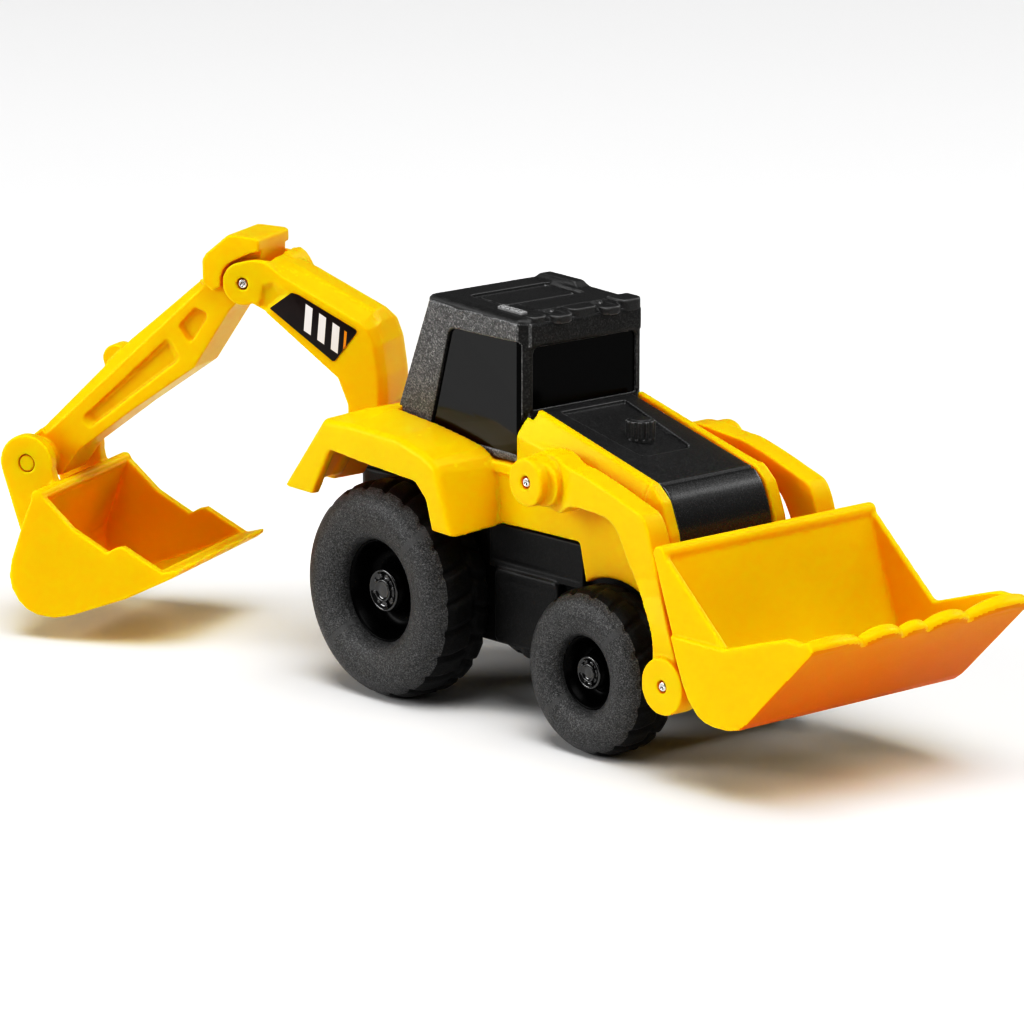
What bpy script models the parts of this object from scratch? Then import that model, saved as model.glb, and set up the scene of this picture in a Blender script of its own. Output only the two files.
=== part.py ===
"""Toy backhoe loader with a front loader bucket and a swinging rear digging arm.

Every separate moulding, pin, tyre and screw is its own object.  Dimensions are
written in millimetres in a vehicle frame (X forward, Y left, Z up, X = 0 on the
rear axle, Y = 0 on the centre plane, Z = 0 on the ground) and turned to metres
about the bounding-box bottom centre at the end.
"""
import math
import bpy
import bmesh
from mathutils import Vector, Matrix

# ------------------------------------------------------------------ driving dimensions (mm)
MM = 0.001
ORIGIN_X = 6.189          # vehicle X of the part origin
ORIGIN_Y = -7.793         # vehicle Y of the part origin

REAR_R, REAR_OUT, REAR_IN = 15.0, 19.7, 10.0
FRONT_X, FRONT_R, FRONT_OUT, FRONT_IN = 40.4, 11.2, 18.0, 10.2
AXLE_R = 1.0
PIN_R = 0.9               # steel rivet pins
BORE = 0.08               # radial clearance of a turning bore

ARM_PX, ARM_PZ = 30.75, 35.5       # loader arm pivot
BKT_PX, BKT_PZ = 58.2, 13.4        # loader bucket pivot
BKT_HALF = 19.7

SWING_X = -18.5                    # vertical swing axis of the digging arm
SWING_DEG = 25.3                   # rest swing toward the right side
BOOM_L, BOOM_Z = 1.0, 31.2         # boom foot pivot (distance behind swing axis, height)
STICK_L, STICK_Z = 20.2, 51.9      # boom to stick pivot
DIG_L, DIG_Z = 52.9, 24.1          # stick to digging bucket pivot

HOOD_OUT = 11.5                    # outer half width of the hood side plates
HOOD_IN = 8.45                     # inner half width at the hood insert

for o in list(bpy.data.objects):
    bpy.data.objects.remove(o, do_unlink=True)

# ------------------------------------------------------------------ materials
def material(name, rgb, rough, metal=0.0):
    m = bpy.data.materials.new(name)
    m.use_nodes = True
    b = m.node_tree.nodes["Principled BSDF"]
    b.inputs["Base Color"].default_value = (rgb[0], rgb[1], rgb[2], 1.0)
    b.inputs["Roughness"].default_value = rough
    b.inputs["Metallic"].default_value = metal
    return m

YELLOW = (0.86, 0.56, 0.01)
BLACK = (0.018, 0.018, 0.020)

# ------------------------------------------------------------------ mesh helpers
def new_object(name, bm):
    me = bpy.data.meshes.new(name)
    bmesh.ops.recalc_face_normals(bm, faces=bm.faces[:])
    bm.to_mesh(me)
    bm.free()
    ob = bpy.data.objects.new(name, me)
    bpy.context.scene.collection.objects.link(ob)
    return ob

def loft(name, rings):
    """Closed solid through rings of equal length (lists of 3-D points)."""
    bm = bmesh.new()
    vs = [[bm.verts.new(p) for p in ring] for ring in rings]
    n = len(rings[0])
    for a, b in zip(vs, vs[1:]):
        for i in range(n):
            j = (i + 1) % n
            bm.faces.new((a[i], a[j], b[j], b[i]))
    c0 = bm.faces.new(list(reversed(vs[0])))
    c1 = bm.faces.new(vs[-1])
    bmesh.ops.recalc_face_normals(bm, faces=bm.faces[:])
    bmesh.ops.triangulate(bm, faces=[c0, c1], quad_method='BEAUTY', ngon_method='EAR_CLIP')
    bent = []
    for f in bm.faces:
        if len(f.verts) == 4:
            p = [v.co for v in f.verts]
            nrm = (p[1] - p[0]).cross(p[2] - p[0])
            if nrm.length > 1e-9 and abs(nrm.normalized().dot(p[3] - p[0])) > 1e-5:
                bent.append(f)
    if bent:
        bmesh.ops.triangulate(bm, faces=bent)
    return new_object(name, bm)

def prism_y(name, pts, y0, y1):
    """XZ outline swept along Y."""
    return loft(name, [[(x, y0, z) for x, z in pts], [(x, y1, z) for x, z in pts]])

def prism_z(name, pts, z0, z1):
    return loft(name, [[(x, y, z0) for x, y in pts], [(x, y, z1) for x, y in pts]])

def box(name, x0, x1, y0, y1, z0, z1):
    return prism_y(name, [(x0, z0), (x1, z0), (x1, z1), (x0, z1)], y0, y1)

def cyl(name, axis, c, r, a, b, n=32):
    """Cylinder about an axis 'X', 'Y' or 'Z' through c (the two other coordinates), from a to b."""
    pts = [(r * math.cos(2 * math.pi * i / n), r * math.sin(2 * math.pi * i / n)) for i in range(n)]
    if axis == 'Y':
        rings = [[(c[0] + p, y, c[1] + q) for p, q in pts] for y in (a, b)]
    elif axis == 'Z':
        rings = [[(c[0] + p, c[1] + q, z) for p, q in pts] for z in (a, b)]
    else:
        rings = [[(x, c[0] + p, c[1] + q) for p, q in pts] for x in (a, b)]
    return loft(name, rings)

def revolve_y(name, prof, cx, cz, n=56):
    """Closed (radius, y) outline turned about a Y axis through (cx, cz)."""
    bm = bmesh.new()
    rings = []
    for i in range(n):
        t = 2 * math.pi * i / n
        rings.append([bm.verts.new((cx + r * math.cos(t), y, cz + r * math.sin(t))) for r, y in prof])
    m = len(prof)
    for i in range(n):
        a, b = rings[i], rings[(i + 1) % n]
        for k in range(m):
            l = (k + 1) % m
            bm.faces.new((a[k], a[l], b[l], b[k]))
    return new_object(name, bm)

def revolve_solid_y(name, prof, cx, cz, n=40):
    """Open (radius, y) outline starting and ending on the axis, turned about Y."""
    bm = bmesh.new()
    first = bm.verts.new((cx, prof[0][1], cz))
    last = bm.verts.new((cx, prof[-1][1], cz))
    mid = prof[1:-1]
    rings = []
    for i in range(n):
        t = 2 * math.pi * i / n
        rings.append([bm.verts.new((cx + r * math.cos(t), y, cz + r * math.sin(t))) for r, y in mid])
    for i in range(n):
        a, b = rings[i], rings[(i + 1) % n]
        for k in range(len(mid) - 1):
            bm.faces.new((a[k], a[k + 1], b[k + 1], b[k]))
        bm.faces.new((first, b[0], a[0]))
        bm.faces.new((last, a[-1], b[-1]))
    return new_object(name, bm)

def boolean(ob, other, op='DIFFERENCE'):
    m = ob.modifiers.new("b", 'BOOLEAN')
    m.operation = op
    m.solver = 'EXACT'
    m.object = other
    dg = bpy.context.evaluated_depsgraph_get()
    me = bpy.data.meshes.new_from_object(ob.evaluated_get(dg))
    ob.modifiers.clear()
    old = ob.data
    ob.data = me
    bpy.data.meshes.remove(old)
    bpy.data.objects.remove(other, do_unlink=True)
    return ob

def cut(ob, *others):
    for o in others:
        boolean(ob, o, 'DIFFERENCE')
    return ob

def join(ob, *others):
    for o in others:
        boolean(ob, o, 'UNION')
    return ob

def arc(cx, cz, r, a0, a1, n):
    return [(cx + r * math.cos(math.radians(a0 + (a1 - a0) * i / n)),
             cz + r * math.sin(math.radians(a0 + (a1 - a0) * i / n))) for i in range(n + 1)]

def mirror(pts_object_factory):
    """Right side and left side copies from one factory taking the sign of Y."""
    return pts_object_factory(-1), pts_object_factory(1)

SWING = (Matrix.Translation((SWING_X, 0, 0)) @ Matrix.Rotation(math.radians(180 + SWING_DEG), 4, 'Z'))

PARTS = []

def finish(ob, mat, pivot=None, rig=None):
    """Bake to metres about the part origin; the object origin sits on its pivot."""
    if rig is not None:
        ob.data.transform(rig)
    ob.data.transform(Matrix.Translation((-ORIGIN_X, -ORIGIN_Y, 0)))
    p = Vector((0, 0, 0))
    if pivot is not None:
        p = Vector(pivot)
        if rig is not None:
            p = rig @ p
        p = p - Vector((ORIGIN_X, ORIGIN_Y, 0))
    ob.data.transform(Matrix.Translation(-p))
    ob.data.transform(Matrix.Diagonal((MM, MM, MM, 1)))
    ob.location = p * MM
    bm = bmesh.new()
    bm.from_mesh(ob.data)
    bmesh.ops.remove_doubles(bm, verts=bm.verts[:], dist=0.0000004)
    bmesh.ops.dissolve_degenerate(bm, edges=bm.edges[:], dist=0.0000001)
    bmesh.ops.triangulate(bm, faces=bm.faces[:])
    bmesh.ops.recalc_face_normals(bm, faces=bm.faces[:])
    bm.to_mesh(ob.data)
    bm.free()
    ob.data.materials.clear()
    ob.data.materials.append(material("m_" + ob.name, *mat))
    PARTS.append(ob)
    return ob

PLASTIC_Y = (YELLOW, 0.35)
PLASTIC_K = (BLACK, 0.45)
GLOSS_K = ((0.010, 0.010, 0.012), 0.15)
STEEL = ((0.60, 0.60, 0.62), 0.25, 1.0)
RUBBER = ((0.030, 0.030, 0.032), 0.85)

# ================================================================== chassis
CH_BOT, CH_TOP = 9.2, 26.3
chassis = prism_y("chassis_base", [(-11.0, 13.0), (-8.0, CH_BOT), (44.0, CH_BOT), (48.6, 11.0), (48.6, 19.8),
                                   (48.0, CH_TOP), (-11.0, CH_TOP)], -9.3, 9.3)
join(chassis,
     box("t", 15.9, 28.6, -11.0, 11.0, CH_BOT + 0.7, 20.2),
     box("t", 14.5, 33.3, -10.6, 10.6, 20.1, CH_TOP - 0.05))
tongue = [(-10.0, -3.8)] + [(SWING_X - 3.8 * math.sin(math.radians(t)), -3.8 * math.cos(math.radians(t)))
                            for t in range(0, 181, 12)] + [(-10.0, 3.8)]
join(chassis, prism_z("t", tongue, 20.6, 26.9))
cut(chassis,
    prism_y("t", [(-9.4, 14.0), (-7.0, 11.4), (43.6, 11.4), (47.0, 12.9), (47.0, 27.5), (-9.4, 27.5)], -7.7, 7.7),
    cyl("t", 'Y', (0.0, REAR_R), AXLE_R + BORE, -12, 12),
    cyl("t", 'Y', (FRONT_X, FRONT_R), AXLE_R + BORE, -12, 12),
    cyl("t", 'Z', (SWING_X, 0.0), 1.1 + BORE, 19, 28))
SCREWS = [("screw_rear", -4.6), ("screw_mid", 14.0), ("screw_front", 30.0)]
for nm, sx in SCREWS:
    cut(chassis, cyl("t", 'Z', (sx, 0.0), 1.0, 7.0, 13.0), cyl("t", 'Z', (sx, 0.0), 2.0, 7.0, 10.1))
finish(chassis, PLASTIC_K)

for nm, sx in SCREWS:
    s = cyl(nm, 'Z', (sx, 0.0), 1.75, 9.3, 10.05, 28)
    join(s, cyl("t", 'Z', (sx, 0.0), 0.7, 10.0, 18.0, 20))
    cut(s, box("t", sx - 1.1, sx + 1.1, -0.2, 0.2, 8.5, 9.7), box("t", sx - 0.2, sx + 0.2, -1.1, 1.1, 8.5, 9.7))
    finish(s, STEEL)

# ================================================================== yellow body shell
F_MID = [(-18.3, 26.9), (-9.9, 37.6), (-4.0, 37.9), (5.5, 37.6), (10.5, 36.4), (13.8, 34.8), (17.2, 25.7)]
F_IN = [(-18.3, 26.9), (-9.9, 38.0), (-3.3, 39.1), (5.5, 38.2), (11.5, 37.3), (17.2, 36.0), (17.6, 26.3)]
F_OUT = [(-17.7, 26.9), (-9.55, 36.8), (-3.9, 37.0), (5.3, 36.7), (10.1, 35.6), (13.1, 34.2), (16.5, 25.9)]
V_MID = [(-20.35, 22.0), (-9.3, 36.1), (-3.9, 36.5), (5.2, 36.2), (9.9, 35.0), (12.6, 33.6), (16.6, 22.0)]
V_IN = [(-20.2, 22.0), (-9.2, 36.65), (-3.4, 37.7), (5.2, 36.8), (11.0, 35.9), (15.9, 34.7), (16.2, 22.0)]

def fender(s):
    r = []
    for pts, y in ((F_OUT, 19.5), (F_MID, 18.5), (F_IN, 11.35)):
        r.append([(x, s * y, z) for x, z in pts])
    f = loft("fender", r)
    cut(f, loft("t", [[(x, s * 18.0, z) for x, z in V_MID], [(x, s * 12.6, z) for x, z in V_IN]]),
        prism_y("t", [(-13.6, 22.0), (-12.1, 26.9), (-8.4, 33.5), (-0.9, 32.8), (9.4, 32.1), (11.6, 30.0),
                      (12.8, 26.1), (13.0, 22.0)], s * 21, s * 17.0),
        prism_y("t", [(-15.5, 20.0), (11.8, 20.0), (11.8, 31.8), (-12.2, 31.8), (-15.5, 27.55)], s * 12.9, s * 11.0))
    return f

shell, other = mirror(fender)
shell.name = "body_shell"
join(shell, other)
# rear deck and rear wall between the fenders
deck_o = [(-18.2, 26.97), (-9.95, 37.92), (-3.2, 39.03), (-3.2, 33.0), (-4.7, 33.0), (-4.7, 37.5), (-9.3, 36.6), (-16.35, 26.97)]
join(shell, prism_y("t", deck_o, -12.1, 12.1))
cut(shell, box("t", -25.0, -10.9, -6.4, 6.4, 20.0, 33.8))
# floor under the cab, posts and cross rib
join(shell, box("t", -8.6, 21.0, -12.0, 12.0, 33.7, 35.15))
# side walls running forward into the hood side plates
def side(s):
    wall = prism_y("w", [(11.0, 33.5), (14.0, 26.6), (33.4, 26.8), (34.8, 21.0), (50.4, 21.0), (50.4, 27.0), (49.9, 30.3),
                         (48.2, 34.6), (46.0, 36.55), (22.6, 42.85), (21.7, 42.3), (20.9, 39.6), (20.9, 35.2), (18.4, 35.2),
                         (11.0, 34.5)], s * 9.9, s * HOOD_OUT)
    # wide top rail of the hood plate
    rail = prism_y("t", [(50.35, 23.0), (50.35, 27.0), (49.85, 30.3), (48.15, 34.55), (45.95, 36.5), (23.0, 42.7), (23.0, 40.2),
                         (44.9, 34.5), (46.8, 32.9), (48.2, 29.9), (48.7, 23.0)], s * HOOD_IN, s * 10.5)
    join(wall, rail)
    # slanted shoulder between side face and top edge
    sh = loft("t", [[(19.0, s * 11.6, 39.3), (19.0, s * 9.0, 44.6), (19.0, s * 14.0, 44.6)],
                    [(47.0, s * 11.6, 33.6), (47.0, s * 9.2, 37.3), (47.0, s * 14.0, 37.3)]])
    cut(wall, sh, cyl("t", 'Y', (FRONT_X, FRONT_R), FRONT_R + 0.6, s * 9.0, s * 12.5, 64))
    # pivot boss inside the wall
    join(wall, cyl("t", 'Y', (ARM_PX, ARM_PZ), 2.2, s * 10.6, s * 7.4, 28))
    cut(wall, cyl("t", 'Y', (ARM_PX, ARM_PZ), PIN_R + 0.05, s * 13.0, s * 8.2, 24))
    return wall

a, b = mirror(side)
join(shell, a, b)
join(shell, box("t", 28.6, 31.4, -10.5, 10.5, 31.0, 33.0))
join(shell, box("t", 45.0, 47.2, -10.5, 10.5, 26.8, 28.6))
for nm, sx in SCREWS:
    join(shell, cyl("t", 'Z', (sx, 0.0), 2.2, 11.7, 34.0 if sx < 20 else 32.6, 28))
    cut(shell, cyl("t", 'Z', (sx, 0.0), 0.75, 10.0, 19.0, 20))
finish(shell, PLASTIC_Y)

# ================================================================== cab
CAB_B = 35.35
def cab_ring(z, inset=0.0, front_low=False):
    t = (z - 39.0) / (55.4 - 39.0)
    xr = -3.9 + (2.8 + 3.9) * t + inset
    wf = 11.15 - inset
    x2 = 22.1 - inset
    c = max(0.15, 1.4 - 0.586 * inset)
    x1 = x2 - c
    wr = wf - 0.012 * (x1 - xr)
    return [(xr, -wr, z), (x1, -wf, z), (x2, -wf + c, z), (x2, wf - c, z), (x1, wf, z), (xr, wr, z)]

cab = loft("cab_frame", [cab_ring(CAB_B), cab_ring(51.0), cab_ring(54.2)])
# roof: slight fall to the front with chamfered edges
def roof_top(z_r, z_f, ins):
    ring = [(2.3 + ins, -10.7 + ins), (20.7, -11.1 + ins), (22.0 - ins, -9.7 + ins * 0.5),
            (22.0 - ins, 9.7 - ins * 0.5), (20.7, 11.1 - ins), (2.3 + ins, 10.7 - ins)]
    return [(x, y, z_r + (z_f - z_r) * (x - 2.3) / 19.7) for x, y in ring]
roof = loft("cab_roof", [roof_top(54.35, 53.2, 0.0), roof_top(55.2, 54.2, 0.0), roof_top(55.8, 54.8, 0.6)])
cut(cab, loft("t", [[(-8, -13, 54.6 - 0.1), (26, -13, 52.8 - 0.1), (26, 13, 52.8 - 0.1), (-8, 13, 54.6 - 0.1)],
                    [(-8, -13, 58), (26, -13, 58), (26, 13, 58), (-8, 13, 58)]]))
# the foot of the cab is narrower where the hood plates and rear deck stand
for s in (-1, 1):
    cut(cab, prism_y("t", [(20.78, 30.0), (24.0, 30.0), (24.0, 43.2), (20.78, 43.2)], s * 9.8, s * 14.0))
cut(cab, prism_y("t", [(21.9, 30.0), (24.0, 30.0), (24.0, 42.55), (21.9, 42.55)], -14.0, 14.0))
cut(cab, prism_y("t", [(-12.0, 30.0), (-3.1, 30.0), (-3.1, 39.3), (-12.0, 39.3)], -14.0, 14.0))
# hollow and window openings
cut(cab, loft("t", [cab_ring(CAB_B - 2, 1.5), cab_ring(52.9, 1.5)]))
for s in (-1, 1):
    cut(cab, prism_y("t", [(3.6, 40.0), (20.4, 40.0), (20.4, 51.7), (6.9, 51.7)], s * 14.0, s * 8.0))
cut(cab, loft("t", [[(19.0, -8.3, 43.6), (19.0, 8.3, 43.6), (19.0, 8.3, 50.7), (19.0, -8.3, 50.7)],
                    [(26.0, -8.3, 43.6), (26.0, 8.3, 43.6), (26.0, 8.3, 50.7), (26.0, -8.3, 50.7)]]))
cut(cab, loft("t", [[(-6.0, -7.6, 42.0), (-6.0, 7.6, 42.0), (-6.0, 7.6, 51.0), (-6.0, -7.6, 51.0)],
                    [(6.0, -7.6, 42.0), (6.0, 7.6, 42.0), (6.0, 7.6, 51.0), (6.0, -7.6, 51.0)]]))
finish(cab, PLASTIC_K)

# glazing insert: one open-bottomed hollow moulding behind the window openings
glaze = loft("cab_glazing", [cab_ring(39.6, 1.62), cab_ring(52.3, 1.62)])
for s in (-1, 1):
    cut(glaze, box("t", 20.2, 24.0, s * 9.0, s * 14.0, 30.0, 43.0))
# window panes standing forward into the openings
for s in (-1, 1):
    join(glaze, prism_y("t", [(3.85, 40.25), (20.1, 40.25), (20.1, 51.45), (7.05, 51.45)], s * 8.6, s * 10.25))
join(glaze, loft("t", [[(18.5, -8.1, 43.8), (18.5, 8.1, 43.8), (18.5, 8.1, 50.5), (18.5, -8.1, 50.5)],
                       [(21.5, -8.1, 43.8), (21.5, 8.1, 43.8), (21.5, 8.1, 50.5), (21.5, -8.1, 50.5)]]))
cut(glaze, loft("t", [cab_ring(35.0, 3.0), cab_ring(51.0, 3.0)]))
finish(glaze, GLOSS_K)

# roof cap with skylight recess and lamp pods
cut(roof, loft("t", [[(7.4, -6.8, 55.05), (13.2, -6.8, 54.7), (13.2, 6.8, 54.7), (7.4, 6.8, 55.05)],
                     [(7.4, -6.8, 57), (13.2, -6.8, 57), (13.2, 6.8, 57), (7.4, 6.8, 57)]]))
for yy in (-4.4, 4.4):
    join(roof, prism_y("t", [(17.6, 54.6), (22.9, 54.2), (22.9, 54.9), (22.3, 55.3), (17.6, 55.3)], yy - 1.5, yy + 1.5))
join(roof, prism_y("t", [(3.0, 55.4), (12.4, 55.0), (11.6, 56.1), (4.2, 56.5)], 8.0, 10.2))
join(roof, prism_y("t", [(18.6, 54.6), (22.6, 54.2), (22.6, 55.2), (18.6, 55.4)], 7.6, 10.4))
finish(roof, PLASTIC_K)

# ================================================================== hood insert and exhaust stub
HW = HOOD_IN - 0.15
hood = prism_y("hood_insert", [(22.35, 42.35), (45.8, 36.15), (47.9, 34.2), (49.5, 30.2), (50.0, 25.0), (50.0, 24.3), (48.9, 24.3),
                               (48.0, 29.8), (46.5, 33.1), (44.9, 34.3), (22.35, 40.2)], -HW, HW)
cut(hood, loft("t", [[(23.6, -5.8, 41.2), (38.2, -4.3, 37.35), (38.2, 4.3, 37.35), (23.6, 5.8, 41.2)],
                     [(23.6, -5.8, 45.0), (38.2, -4.3, 41.0), (38.2, 4.3, 41.0), (23.6, 5.8, 45.0)]]))
cut(hood, cyl("t", 'Z', (32.9, 0.0), 1.35, 36.0, 43.0, 24))
finish(hood, PLASTIC_K)
stub = cyl("exhaust_stub", 'Z', (32.9, 0.0), 1.95, 39.35, 43.0, 32)
join(stub, cyl("t", 'Z', (32.9, 0.0), 1.25, 37.4, 39.5, 24))
finish(stub, PLASTIC_K)

# ================================================================== wheels and axles
def wheel(nm, cx, R, yo, yi, rim_r, hub_r, side_name, s):
    w = yo - yi
    prof = [(rim_r, yo - 0.9), (rim_r + 0.7, yo - 0.25), (R * 0.70, yo), (R * 0.83, yo - 0.35), (R * 0.93, yo - 1.3), (R * 0.985, yo - 2.4),
            (R, yo - 3.3), (R, yi + 1.6), (R * 0.95, yi + 0.5), (R * 0.80, yi), (rim_r, yi + 0.2), (rim_r, yi + 1.0)]
    t = revolve_y("tyre_%s_%s" % (nm, side_name), [(r, s * y) for r, y in prof], cx, R, 56)
    finish(t, RUBBER, pivot=(cx, 0, R))
    rr = rim_r - 0.08
    dish = yo - 4.2
    prof = [(0.0, yi + 0.5), (rr, yi + 0.5), (rr, yo - 1.0), (rr - 0.6, yo - 1.25), (rr - 1.1, dish + 0.5),
            (hub_r + 0.35, dish), (hub_r, dish + 0.35), (hub_r, yo - 1.85), (hub_r - 0.3, yo - 1.6), (hub_r * 0.45, yo - 1.6),
            (hub_r * 0.38, yo - 1.25), (0.0, yo - 1.25)]
    h = revolve_solid_y("rim_%s_%s" % (nm, side_name), [(r, s * y) for r, y in prof], cx, R, 48)
    cut(h, cyl("t", 'Y', (cx, R), AXLE_R + 0.05, s * (yi - 1.0), s * (yo - 3.0), 24))
    finish(h, GLOSS_K, pivot=(cx, 0, R))

for s, sn in ((-1, "right"), (1, "left")):
    wheel("rear", 0.0, REAR_R, REAR_OUT, REAR_IN, 7.1, 3.1, sn, s)
    wheel("front", FRONT_X, FRONT_R, FRONT_OUT, FRONT_IN, 5.0, 2.4, sn, s)
finish(cyl("axle_rear", 'Y', (0.0, REAR_R), AXLE_R, -(REAR_OUT - 3.2), REAR_OUT - 3.2, 24), STEEL, pivot=(0, 0, REAR_R))
finish(cyl("axle_front", 'Y', (FRONT_X, FRONT_R), AXLE_R, -(FRONT_OUT - 3.2), FRONT_OUT - 3.2, 24), STEEL,
       pivot=(FRONT_X, 0, FRONT_R))

# ================================================================== loader arms
def smooth(t):
    t = max(0.0, min(1.0, t))
    return t * t * (3 - 2 * t)

ARM_TOP = [(30.75, 39.2), (33.0, 39.15), (35.2, 39.0), (37.4, 38.95), (39.4, 38.85), (41.2, 38.75), (44.2, 38.0), (47.1, 37.15), (50.4, 36.05),
           (52.6, 35.35), (53.6, 34.9), (54.4, 33.9), (55.4, 31.6), (57.4, 25.0), (59.1, 19.3), (60.1, 16.9)]
ARM_BOT = [(30.75, 31.8), (33.0, 31.7), (35.2, 31.8), (37.2, 32.7), (39.2, 33.6), (41.2, 33.9), (44.2, 33.8), (46.6, 33.5), (47.9, 32.9),
           (48.9, 31.9), (49.7, 30.7), (50.5, 29.2), (51.6, 27.4), (53.3, 24.4), (55.3, 19.6), (55.6, 16.4)]

# the arm stands SETBACK closer in, and correspondingly further back, until it reaches the bucket eye
SETBACK = 2.2
def arm_point(x, z):
    k = smooth((x - 31.5) / 9.5)
    d = SETBACK * k * smooth((z - 18.0) / 10.0)
    return x - 1.127 * d, z - 0.351 * d, 11.75 + (15.4 - 11.75) * k - d, 15.5 + (18.9 - 15.5) * k - d

TUBE_X, TUBE_Z = 53.5, 24.0

def loader_arm(s, name):
    rings = []
    # rounded root behind the pivot
    stations = []
    for t in (180, 160, 140, 120, 105):
        c, sn_ = math.cos(math.radians(t)), math.sin(math.radians(t))
        stations.append(((ARM_PX + 3.7 * c, ARM_PZ + 3.7 * max(sn_, 0.02)), (ARM_PX + 3.7 * c, ARM_PZ - 3.7 * max(sn_, 0.02))))
    stations += list(zip(ARM_TOP, ARM_BOT))
    for (tx, tz), (bx, bz) in stations:
        tx, tz, ti, to = arm_point(tx, tz)
        bx, bz, bi, bo = arm_point(bx, bz)
        rings.append([(tx, s * ti, tz), (tx, s * to, tz), (bx, s * bo, bz), (bx, s * bi, bz)])
    arm = loft(name, rings)
    join(arm, cyl("t", 'Y', (ARM_PX, ARM_PZ), 3.25, s * 12.5, s * 18.7, 36))
    # lower eye
    join(arm, cyl("t", 'Y', (BKT_PX, BKT_PZ), 3.8, s * 16.0, s * BKT_HALF, 36))
    cut(arm, cyl("t", 'Y', (ARM_PX, ARM_PZ), PIN_R + BORE, s * 11.0, s * 20.0, 24),
        cyl("t", 'Y', (BKT_PX, BKT_PZ), PIN_R + BORE, s * 14.0, s * 21.0, 24),
        cyl("t", 'Y', (TUBE_X, TUBE_Z), 1.46, s * 12.6, s * 15.3, 24))
    return arm

for s, sn in ((-1, "right"), (1, "left")):
    finish(loader_arm(s, "loader_arm_" + sn), PLASTIC_Y, pivot=(ARM_PX, 0, ARM_PZ))
    finish(cyl("arm_pin_" + sn, 'Y', (ARM_PX, ARM_PZ), PIN_R, s * 8.4, s * 18.6, 24), STEEL)
    finish(cyl("bucket_pin_" + sn, 'Y', (BKT_PX, BKT_PZ), PIN_R, s * 13.9, s * 19.6, 24), STEEL,
           pivot=(ARM_PX, 0, ARM_PZ))
finish(cyl("loader_cross_tube", 'Y', (TUBE_X, TUBE_Z), 1.4, -15.2, 15.2, 28), PLASTIC_Y, pivot=(ARM_PX, 0, ARM_PZ))

# ================================================================== loader bucket
B_OUT = [(56.3, 31.1), (56.25, 30.0), (57.95, 25.2), (60.8, 17.5), (62.0, 14.6), (63.1, 12.65), (64.9, 10.8), (66.4, 10.15), (68.1, 9.95),
         (70.4, 10.0), (72.6, 10.5), (74.0, 11.5), (86.0, 23.3), (85.6, 23.9), (80.6, 23.95), (78.0, 23.2), (69.4, 20.5), (58.4, 30.3),
         (57.5, 31.3)]
B_CUT = [(58.15, 33.0), (58.0, 30.0), (59.5, 25.6), (62.2, 18.2), (63.4, 15.3), (64.4, 13.5), (65.7, 12.2), (67.0, 11.6), (68.3, 11.45),
         (70.2, 11.5), (71.8, 11.9), (73.0, 12.7), (84.6, 24.2), (86.5, 26.5), (86.5, 40.0), (58.15, 40.0)]
bucket = prism_y("loader_bucket", B_OUT, -BKT_HALF, BKT_HALF)
cut(bucket, prism_y("t", B_CUT, -(BKT_HALF - 1.35), BKT_HALF - 1.35))
join(bucket, cyl("t", 'Y', (57.05, 30.65), 1.05, -(BKT_HALF - 0.05), BKT_HALF - 0.05, 24))
for s in (-1, 1):
    # upper side plates stand slightly inboard of the lower ones
    cut(bucket, prism_y("t", [(50.0, 20.5), (69.3, 20.5), (74.0, 22.3), (74.0, 40.0), (50.0, 40.0)], s * 19.3, s * 21.0))
    lug = prism_y("t", arc(BKT_PX, BKT_PZ, 3.1, 60, 300, 16) + [(64.9, 10.9), (63.9, 12.3), (61.8, 16.9)], s * 14.0, s * 15.8)
    join(bucket, lug)
    cut(bucket, cyl("t", 'Y', (BKT_PX, BKT_PZ), PIN_R + BORE, s * 13.0, s * 16.2, 24))
# scalloped cutting edge
for yy in (-14.8, -4.95, 4.95, 14.8):
    c = cyl("t", 'Y', (0.0, 0.0), 5.6, -6.0, 6.0, 28)
    c.data.transform(Matrix.Translation((86.0 + 3.62, yy, 23.6 + 3.62)) @ Matrix.Rotation(math.radians(-45), 4, 'Y')
                     @ Matrix.Rotation(math.radians(90), 4, 'X'))
    cut(bucket, c)
finish(bucket, PLASTIC_Y, pivot=(BKT_PX, 0, BKT_PZ))

# ================================================================== digging arm (built in the swing plane: X = distance back, Y toward right side)
BW = 5.1
post = cyl("swing_post", 'Z', (0.0, 0.0), 3.8, 27.05, 28.05, 36)
join(post, prism_y("t", [(BOOM_L - 2.6, 27.9), (BOOM_L + 2.6, 27.9)] + arc(BOOM_L, BOOM_Z, 2.6, 0, 180, 14), -1.7, 1.7))
cut(post, cyl("t", 'Y', (BOOM_L, BOOM_Z), PIN_R + 0.05, -3, 3, 24), cyl("t", 'Z', (0.0, 0.0), 1.15, 26.0, 27.85, 24))
finish(post, PLASTIC_K, pivot=(0, 0, 27), rig=SWING)
king = cyl("swing_pin", 'Z', (0.0, 0.0), 1.1, 20.0, 27.75, 24)
join(king, cyl("t", 'Z', (0.0, 0.0), 1.9, 19.3, 20.4, 28))
finish(king, STEEL, pivot=(0, 0, 27), rig=SWING)

boom_pts = ([(-0.6, 36.3), (-0.5, 40.3), (0.15, 44.6), (1.1, 46.9), (2.0, 47.6), (14.6, 53.6), (16.6, 54.3)]
            + [(16.9, 50.4), (16.9, 48.4), (5.6, 39.7), (4.1, 36.0), (4.1, 34.4), (-0.9, 34.4)])
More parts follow.
